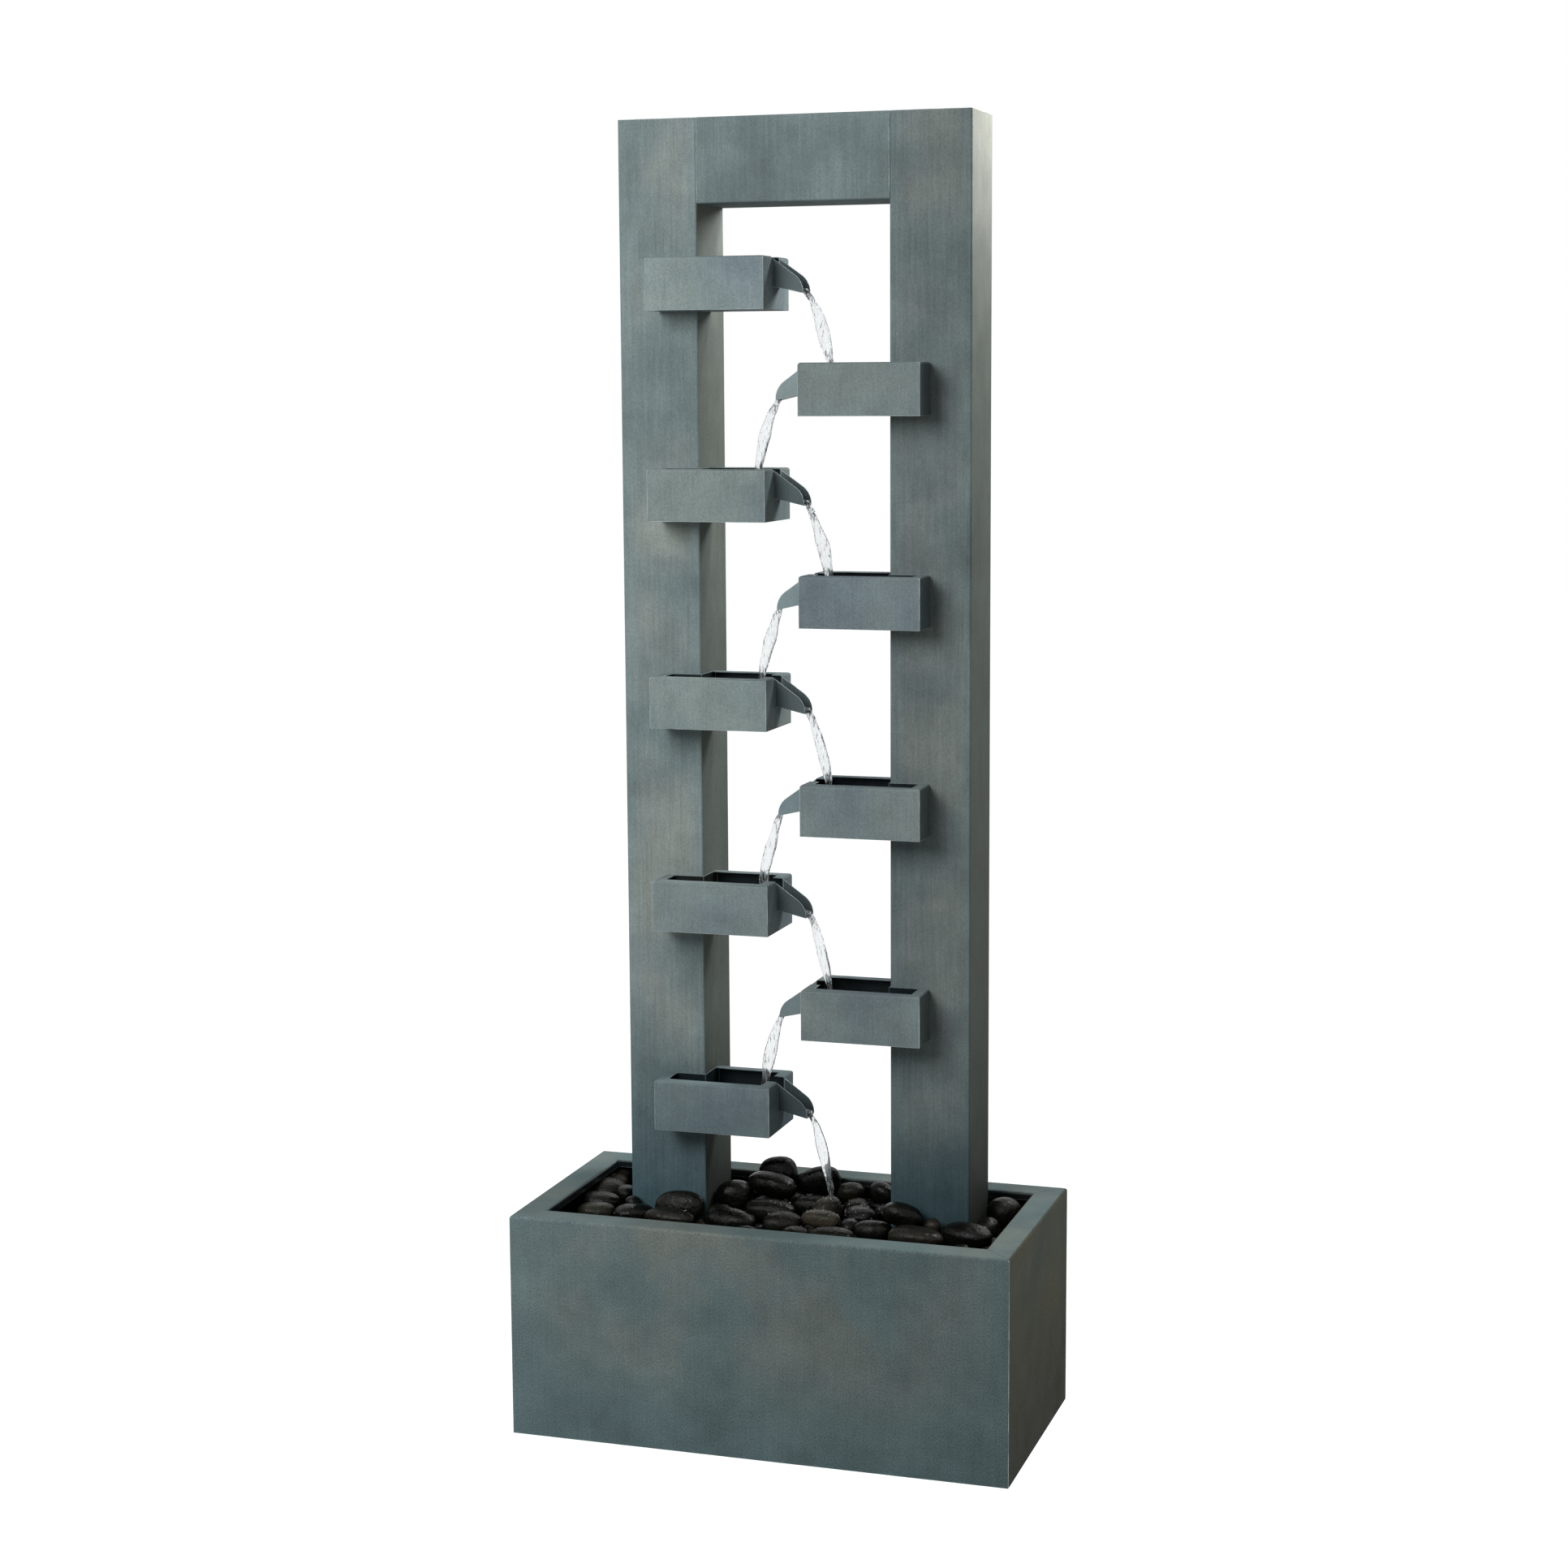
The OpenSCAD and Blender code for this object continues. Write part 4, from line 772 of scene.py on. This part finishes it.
# Stones that show in the photograph, from the lowest up, in millimetres: place across and back,
# half length, half width, half thickness, turn in degrees, tone from black 0 to tan 1, and top
shown_stones = [
    (-201, -18, 19, 14, 9, 5, 0.45, 208), (-164, -14, 19, 14, 9, 20, 0.03, 208),
    (-214, 9, 29, 17, 10, -8, 0.06, 210), (-222, 46, 24, 20, 11, 15, 0.2, 211),
    (-219, 84, 15, 13, 9, 10, 0.5, 209), (-224, 108, 16, 12, 9, 0, 0.7, 209),
    (-168, 6, 8, 8, 6, 0, 0.02, 208), (-187, 38, 9, 13, 8, 10, 0.02, 210),
    (-124, -21, 27, 12, 10.5, -5, 0.2, 210), (-118, 2, 26, 11, 16, -4, 0.12, 221),
    (-77, 4, 14, 9, 10, 12, 0.1, 211), (-58, -13, 28, 15, 12, -14, 0.03, 214),
    (-33, -42, 14, 10, 8, 0, 0.03, 206),
    (-7, -8, 20, 16, 11, 25, 0.2, 211), (13, -34, 15, 12, 8, 0, 0.08, 206),
    (47, -32, 22, 14, 9, 10, 0.06, 207), (58, 2, 12, 10, 9, 80, 0.04, 209),
    (84, -8, 20, 12, 10.5, 8, 0.05, 211), (25, -6, 21, 11, 8.5, -10, 1.0, 209),
    (132, -24, 27, 14, 11.5, -8, 0.3, 212), (178, -8, 28, 17, 13, -14, 0.03, 215),
    (113, -2, 20, 15, 13, 10, 0.03, 221), (149, 3, 8, 9, 9, 20, 0.45, 214),
    (190, 34, 12, 15, 10, 10, 0.08, 210), (196, 76, 18, 17, 15, 60, 0.15, 221),
    (-32, 28, 27, 14, 11, 4, 0.08, 211), (27, 28, 14, 12, 15, 60, 0.5, 221),
    (60, 34, 19, 15, 11, -12, 0.03, 211), (-75, 45, 19, 16, 16.5, 15, 0.03, 222),
    (-72, 104, 20, 13, 9, 0, 0.06, 207), (6, 53, 22, 12, 12, 10, 0.03, 213),
    (48, 62, 16, 14, 10, 20, 0.1, 209), (82, 62, 14, 15, 9, -20, 0.03, 207),
    (-36, 88, 21, 15, 8, 0, 0.03, 205), (12, 88, 18, 13, 7.5, 0, 0.03, 204),
    (52, 86, 24, 12, 6, 0, 0.03, 201), (36, 86, 15, 10, 9, 0, 0.25, 217),
    (68, 88, 15, 9, 10, 0, 0.03, 222), (-42, 58, 19, 11, 8, 0, 0.03, 205),
    (-42, 57, 25, 13, 12, -4, 0.03, 229), (10, 82, 23, 11, 15, 10, 0.01, 233),
    (-43, 86, 21, 9, 17, 4, 0.01, 238),
]
bed, top, crown = [], [], []
undersides = np.full(ground_x.shape, blocked)
for x, y, a, b, c, turn_deg, tone_value, summit in shown_stones:
    # The heap between the posts is a piece of its own
    heap = crown if -90 < x < 90 and y > 56 else top
    lay_stone(heap, x, y, (a, b, c), math.radians(turn_deg), tone_value, summit, places_tried,
              spread=8.0)
# Under and between them lie the stones of the bed: larger ones below, smaller ones above
ceiling = undersides.copy()
ground = np.full(ground_x.shape, tray_top)
ground[posts] = blocked
fill_bed(196.0, (13.0, 21.0), tone_share=0.1, flat=0.3)
fill_bed(203.0, (9.0, 13.0), tone_share=0.2, flat=0.45)
stone_heap("river_stones_bed", bed, "stones_lower")
top_stones = stone_heap("river_stones_top", top, "stones_upper")
crown_stones = stone_heap("river_stones_crown", crown, "stones_crown")


# Water
# Each cup holds water up to its notch; it runs down the spout and falls in a clear stream that
# twists and swells, into the next cup or, from the last, onto the stones.

# Clear water: threads drawn out down the stream, and painted dark refractions in the folds where
# it churns
water, tree, place = new_material("running_water")
drawn_out = add(tree, "ShaderNodeMapping",
                {"Vector": place, "Scale": (1 / 0.0016, 1 / 0.0016, 1 / 0.012)})
threads = add(tree, "ShaderNodeTexNoise",
              {"Vector": drawn_out.outputs[0], "Scale": 1.0, "Detail": 3.0, "Distortion": 0.8})
churn = add(tree, "ShaderNodeAttribute", attribute_name="churn")
folded = add(tree, "ShaderNodeMath", {0: churn.outputs["Fac"], 1: 0.22, 2: threads.outputs["Fac"]},
             operation="MULTIPLY_ADD")
painted_dark_share = add(tree, "ShaderNodeMapRange",
                 {"Value": folded.outputs[0], "From Min": 0.65, "From Max": 0.75})
tint = add(tree, "ShaderNodeMix",
           {0: painted_dark_share.outputs[0], 6: colour("#fbfdfe"), 7: colour("#3f474a")}, data_type="RGBA")
bump = add(tree, "ShaderNodeBump",
           {"Strength": 0.4, "Distance": 0.0004, "Height": threads.outputs["Fac"]})
clear = add(tree, "ShaderNodeMapRange",
            {"Value": churn.outputs["Fac"], "From Max": 0.2, "To Min": 0.86, "To Max": 0.8})
shader = add(tree, "ShaderNodeBsdfPrincipled",
             {"Base Color": tint.outputs[2], "Roughness": 0.06, "IOR": 1.333,
              "Transmission Weight": clear.outputs[0], "Normal": bump.outputs[0]})
add(tree, "ShaderNodeOutputMaterial", {"Surface": shader.outputs[0]})

# Where the last stream lands it splashes: drops of half a millimetre to two lie on the stones,
# thickly round the landing and thinly elsewhere
splash, splash_in, splash_ids = node_group("splash_drops", {
    "Per square metre": "NodeSocketFloat", "Landing": "NodeSocketVector",
    "Reach": "NodeSocketFloat", "Largest": "NodeSocketFloat", "Seed": "NodeSocketInt",
    "Finish": "NodeSocketMaterial"})
where = add(splash, "GeometryNodeInputPosition")
apart = add(splash, "ShaderNodeVectorMath",
            {0: where.outputs[0], 1: splash_in["Landing"]}, operation="DISTANCE")
near = add(splash, "ShaderNodeMapRange",
           {"Value": apart.outputs["Value"], "From Max": splash_in["Reach"],
            "To Min": 1.0, "To Max": 0.04})
amount = add(splash, "ShaderNodeMath",
             {0: near.outputs[0], 1: splash_in["Per square metre"]}, operation="MULTIPLY")
facing = add(splash, "GeometryNodeInputNormal")
upward = add(splash, "ShaderNodeSeparateXYZ", {0: facing.outputs[0]})
on_top = add(splash, "FunctionNodeCompare", {0: upward.outputs["Z"], 1: 0.25},
             data_type="FLOAT", operation="GREATER_THAN")
spots = add(splash, "GeometryNodeDistributePointsOnFaces",
            {"Mesh": splash_in["Geometry"], "Selection": on_top.outputs[0],
             "Density": amount.outputs[0], "Seed": splash_in["Seed"]})
drop = add(splash, "GeometryNodeMeshIcoSphere", {"Radius": 1.0, "Subdivisions": 2})
chance = add(splash, "FunctionNodeRandomValue", {"Seed": splash_in["Seed"]},
             data_type="FLOAT")
fewer = add(splash, "ShaderNodeMath", {0: chance.outputs[1], 1: 3.0}, operation="POWER")
girth = add(splash, "ShaderNodeMapRange",
            {"Value": fewer.outputs[0], "To Min": 0.0003,
             "To Max": splash_in["Largest"]})
drops = add(splash, "GeometryNodeInstanceOnPoints",
            {"Points": spots.outputs["Points"], "Instance": drop.outputs["Mesh"],
             "Rotation": spots.outputs["Rotation"], "Scale": girth.outputs[0]})
end_group(splash, drops.outputs[0], splash_in["Finish"])
for source in (top_stones, crown_stones):
    piece = placed("splash_on_" + source.name, source.data)
    grown(piece, splash, splash_ids, {
        "Per square metre": 50000.0, "Landing": (0.031, 0.02, 0.212), "Reach": 0.075,
        "Largest": 0.0011, "Seed": 5, "Finish": water})
    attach(piece, "fountain")

ring_sides, fall_steps, gravity = 20, 64, 9.81
# How fast the water leaves each spout, in metres a second: across, where the upper ones throw it
# further, and down
fall_speeds = (0.27, 0.255, 0.235) + (0.22,) * 6
down_speed = 0.28
# Half a stream's width and depth, in millimetres, at some shares of its fall: the sheet of water
# folds, swells out and draws in again
fall_marks = (0.0, 0.1, 0.3, 0.55, 0.72, 0.85, 0.93, 1.0)
half_across = (2.7, 2.8, 3.7, 5.8, 5.2, 3.6, 2.4, 2.0)
half_along = (3.6, 3.2, 2.8, 2.6, 2.6, 2.6, 2.2, 2.0)
# It is braided down to the first share of the fall, and knotted from the second one on
braid_end, knot_start = 0.35, 0.74


def stream_rings(start, speed, drop, sign, seed, fuller):
    """Rings of a falling stream and how churned each is: its path is a parabola, its section an
    ellipse with soft ribs that wind round it, braided near the spout and knotted at the end; a
    fuller stream swells more and later."""
    rng = np.random.default_rng(seed)
    late = rng.uniform(-0.04, 0.04) - 0.04 * fuller
    ripple = rng.uniform(0, 6.3, 6)
    fall_time = (-down_speed + math.sqrt(down_speed ** 2 + 2 * gravity * drop)) / gravity
    rings, churned = [], []
    for k in range(fall_steps + 1):
        share = k / fall_steps
        t = share * fall_time
        x = start[0] + sign * speed * t
        z = start[2] - down_speed * t - gravity * t * t / 2
        moved = share + late * math.sin(math.pi * share)
        braid = max(0.0, 1 - moved / braid_end)
        knot = max(0.0, (moved - knot_start) / (1 - knot_start))
        pinch = (1 + 0.2 * knot * math.sin(38 * share + ripple[3])
                 + 0.1 * braid * math.sin(30 * share + ripple[4]))
        across = np.interp(moved, fall_marks, half_across) * (1 + 0.12 * fuller) * pinch * MM
        deep = np.interp(moved, fall_marks, half_along) * pinch * MM
        sway = (0.5 * math.sin(7 * share + ripple[5]) + 0.5 * knot * math.sin(30 * share)) * MM
        twist = 0.35 * math.sin(5 * share + ripple[2])
        two_ribs, three_ribs = 0.03 + 0.14 * braid + 0.16 * knot, 0.04 + 0.05 * knot
        ring = []
        for m in range(ring_sides):
            a = 2 * math.pi * m / ring_sides
            rib = (1 + two_ribs * math.sin(2 * a + ripple[0] + 20 * share)
                   + three_ribs * math.sin(3 * a - ripple[1] - 9 * share))
            u, v = across * rib * math.cos(a), deep * rib * math.sin(a)
            ring.append((x + sway + u * math.cos(twist) - v * math.sin(twist),
                         start[1] + u * math.sin(twist) + v * math.cos(twist), z))
            # Churn, and with it the painted dark refraction, is strongest in braid and knot and at
            # both edges
            churned.append(min(1.0, 0.2 + max(0.9 * braid, 1.3 * knot) + 0.55 * math.cos(a) ** 8))
        rings.append(ring)
    return rings, churned


def tube_mesh(rings):
    """Vertices and faces of a closed tube through rings of points."""
    n = len(rings[0])
    points = [p for ring in rings for p in ring]
    faces = []
    for k in range(len(rings) - 1):
        for m in range(n):
            a, b = k * n + m, k * n + (m + 1) % n
            faces.append((a, b, b + n, a + n))
    faces.append(tuple(reversed(range(n))))
    faces.append(tuple(range((len(rings) - 1) * n, len(rings) * n)))
    return points, faces


# Below a cup's rim: the water's level, and the chute's floor at its root and at its tip
level_drop, root_drop, tip_drop = 24.5 * MM, 26.7 * MM, 33.6 * MM
# From a cup's outer faces in to its water: at its bottom, at its walls and at its notch
bottom_gap, wall_gap, notch_gap = 1.2 * MM, 1.3 * MM, 1.4 * MM
# Half the width of the water in a chute, how much of it is left at the tip, and its depth there
chute_half, drawn_in, tip_depth = 10.6 * MM, 0.42, 3.2 * MM
cup_middle_y = (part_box("spout_1")[0].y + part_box("spout_1")[1].y) / 2
for i in range(1, cup_count + 1):
    cup_low, cup_high, spout_low, spout_high, s, near_x, far_x = cup_and_spout(i)
    tip_x = s * (near_x - (spout_high.x - spout_low.x))
    level = cup_high.z - level_drop
    bottom = cup_low.z + bottom_gap
    y0, y1, notch_y = cup_low.y + wall_gap, cup_high.y - wall_gap, post_front - notch_gap
    inner, notch_x, outer = near_x + wall_gap, post_inner - notch_gap, far_x - wall_gap
    outline = [(s * inner, y0), (s * outer, y0), (s * outer, notch_y), (s * notch_x, notch_y),
               (s * notch_x, y1), (s * inner, y1)]
    meshes = [tube_mesh([[(x, y, z) for x, y in outline] for z in (bottom, level)])]
    floor_root, floor_tip = cup_high.z - root_drop, cup_high.z - tip_drop
    chute = [(s * (near_x + 2 * MM), -1.0, floor_root, level),
             (tip_x, -drawn_in, floor_tip, floor_tip + tip_depth),
             (tip_x, drawn_in, floor_tip, floor_tip + tip_depth),
             (s * (near_x + 2 * MM), 1.0, floor_root, level)]
    meshes.append(tube_mesh([[(c[0], cup_middle_y + chute_half * c[1], c[k]) for c in chute]
                             for k in (2, 3)]))
    # The last stream ends on a stone, a little lower than the others end in their cups
    last = i == cup_count
    drop = (86 if last else 84) * MM
    start = (tip_x + s * 1.5 * MM, cup_middle_y, floor_tip + tip_depth / 2)
    rings, churned = stream_rings(start, fall_speeds[i - 1], drop, -s, i, 0.0 if last else 1.0)
    meshes.append(tube_mesh(rings))
    skin = bmesh.new()
    for points, faces in meshes:
        verts = [skin.verts.new(p) for p in points]
        for face in faces:
            skin.faces.new([verts[k] for k in face])
    bmesh.ops.recalc_face_normals(skin, faces=skin.faces)
    for face in skin.faces:
        face.smooth = len(face.verts) == 4 and abs(face.normal.z) < 0.98
    mesh = bpy.data.meshes.new(f"water_{i}")
    skin.to_mesh(mesh)
    skin.free()
    calm = len(mesh.vertices) - len(churned)
    vary(mesh, "churn", [0.3] * calm + churned)
    mesh.materials.append(water)
    piece = placed(f"water_{i}", mesh)
    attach(piece, "fountain")


# Floor and light
# A pale studio floor that keeps the fountain's shadow, a large softbox in front on the left, a
# smaller one behind and a very small one high up on the right, and an even white surround.


def seen_directly(tree):
    """1 for rays from the camera or from a mirror or through glass, 0 for light on surfaces."""
    path = add(tree, "ShaderNodeLightPath")
    direct = path.outputs["Is Camera Ray"]
    for kind in ("Is Glossy Ray", "Is Transmission Ray"):
        direct = add(tree, "ShaderNodeMath", {0: direct, 1: path.outputs[kind]},
                     operation="MAXIMUM").outputs[0]
    return direct


# Matt grey paint for the shadow's sake, which the eye sees as nearly white
floor_mat, tree, _ = new_material("studio_floor")
glow = add(tree, "ShaderNodeMath", {0: seen_directly(tree), 1: 0.96}, operation="MULTIPLY")
shader = add(tree, "ShaderNodeBsdfPrincipled",
             {"Base Color": colour("#a9a9a7"), "Roughness": 0.9, "Specular IOR Level": 0.0,
              "Emission Color": colour("#ffffff"), "Emission Strength": glow.outputs[0]})
add(tree, "ShaderNodeOutputMaterial", {"Surface": shader.outputs[0]})
mesh = bpy.data.meshes.new("studio_floor")
reach = 9.0
corners = [(-reach, -reach, 0), (reach, -reach, 0), (reach, reach, 0), (-reach, reach, 0)]
mesh.from_pydata(corners, [], [(0, 1, 2, 3)])
mesh.materials.append(floor_mat)
floor = placed("studio_floor", mesh)

world = bpy.data.worlds.new("studio")
bpy.context.scene.world = world
world.use_nodes = True
tree = world.node_tree
tree.nodes.clear()
strength = add(tree, "ShaderNodeMapRange",
               {"Value": seen_directly(tree), "To Min": 0.2, "To Max": 1.0})
sky = add(tree, "ShaderNodeBackground",
          {"Color": colour("#ffffff"), "Strength": strength.outputs[0]})
add(tree, "ShaderNodeOutputWorld", {"Surface": sky.outputs[0]})


def softbox(name, place, target, size, power, tint):
    """A square area lamp that faces a point."""
    data = bpy.data.lights.new(name, "AREA")
    data.shape, data.size, data.size_y = "RECTANGLE", size, size
    data.energy = power
    data.color = colour(tint)[:3]
    lamp = placed(name, data)
    lamp.location = place
    lamp.rotation_mode = "QUATERNION"
    lamp.rotation_quaternion = (Vector(target) - Vector(place)).to_track_quat("-Z", "Y")


softbox("front_left_softbox", (-0.65, -1.6, 1.6), (0.0, 0.0, 0.65), 1.0, 23, "#f8fcff")
softbox("rear_right_softbox", (0.7, 0.75, 1.5), (0.1, 0.05, 0.95), 0.4, 10, "#fbfdff")
softbox("high_right_softbox", (0.36, 0.2, 1.42), (0.17, 0.05, 1.2), 0.12, 1.8, "#fffaf2")

bpy.context.scene.view_settings.view_transform = "Standard"
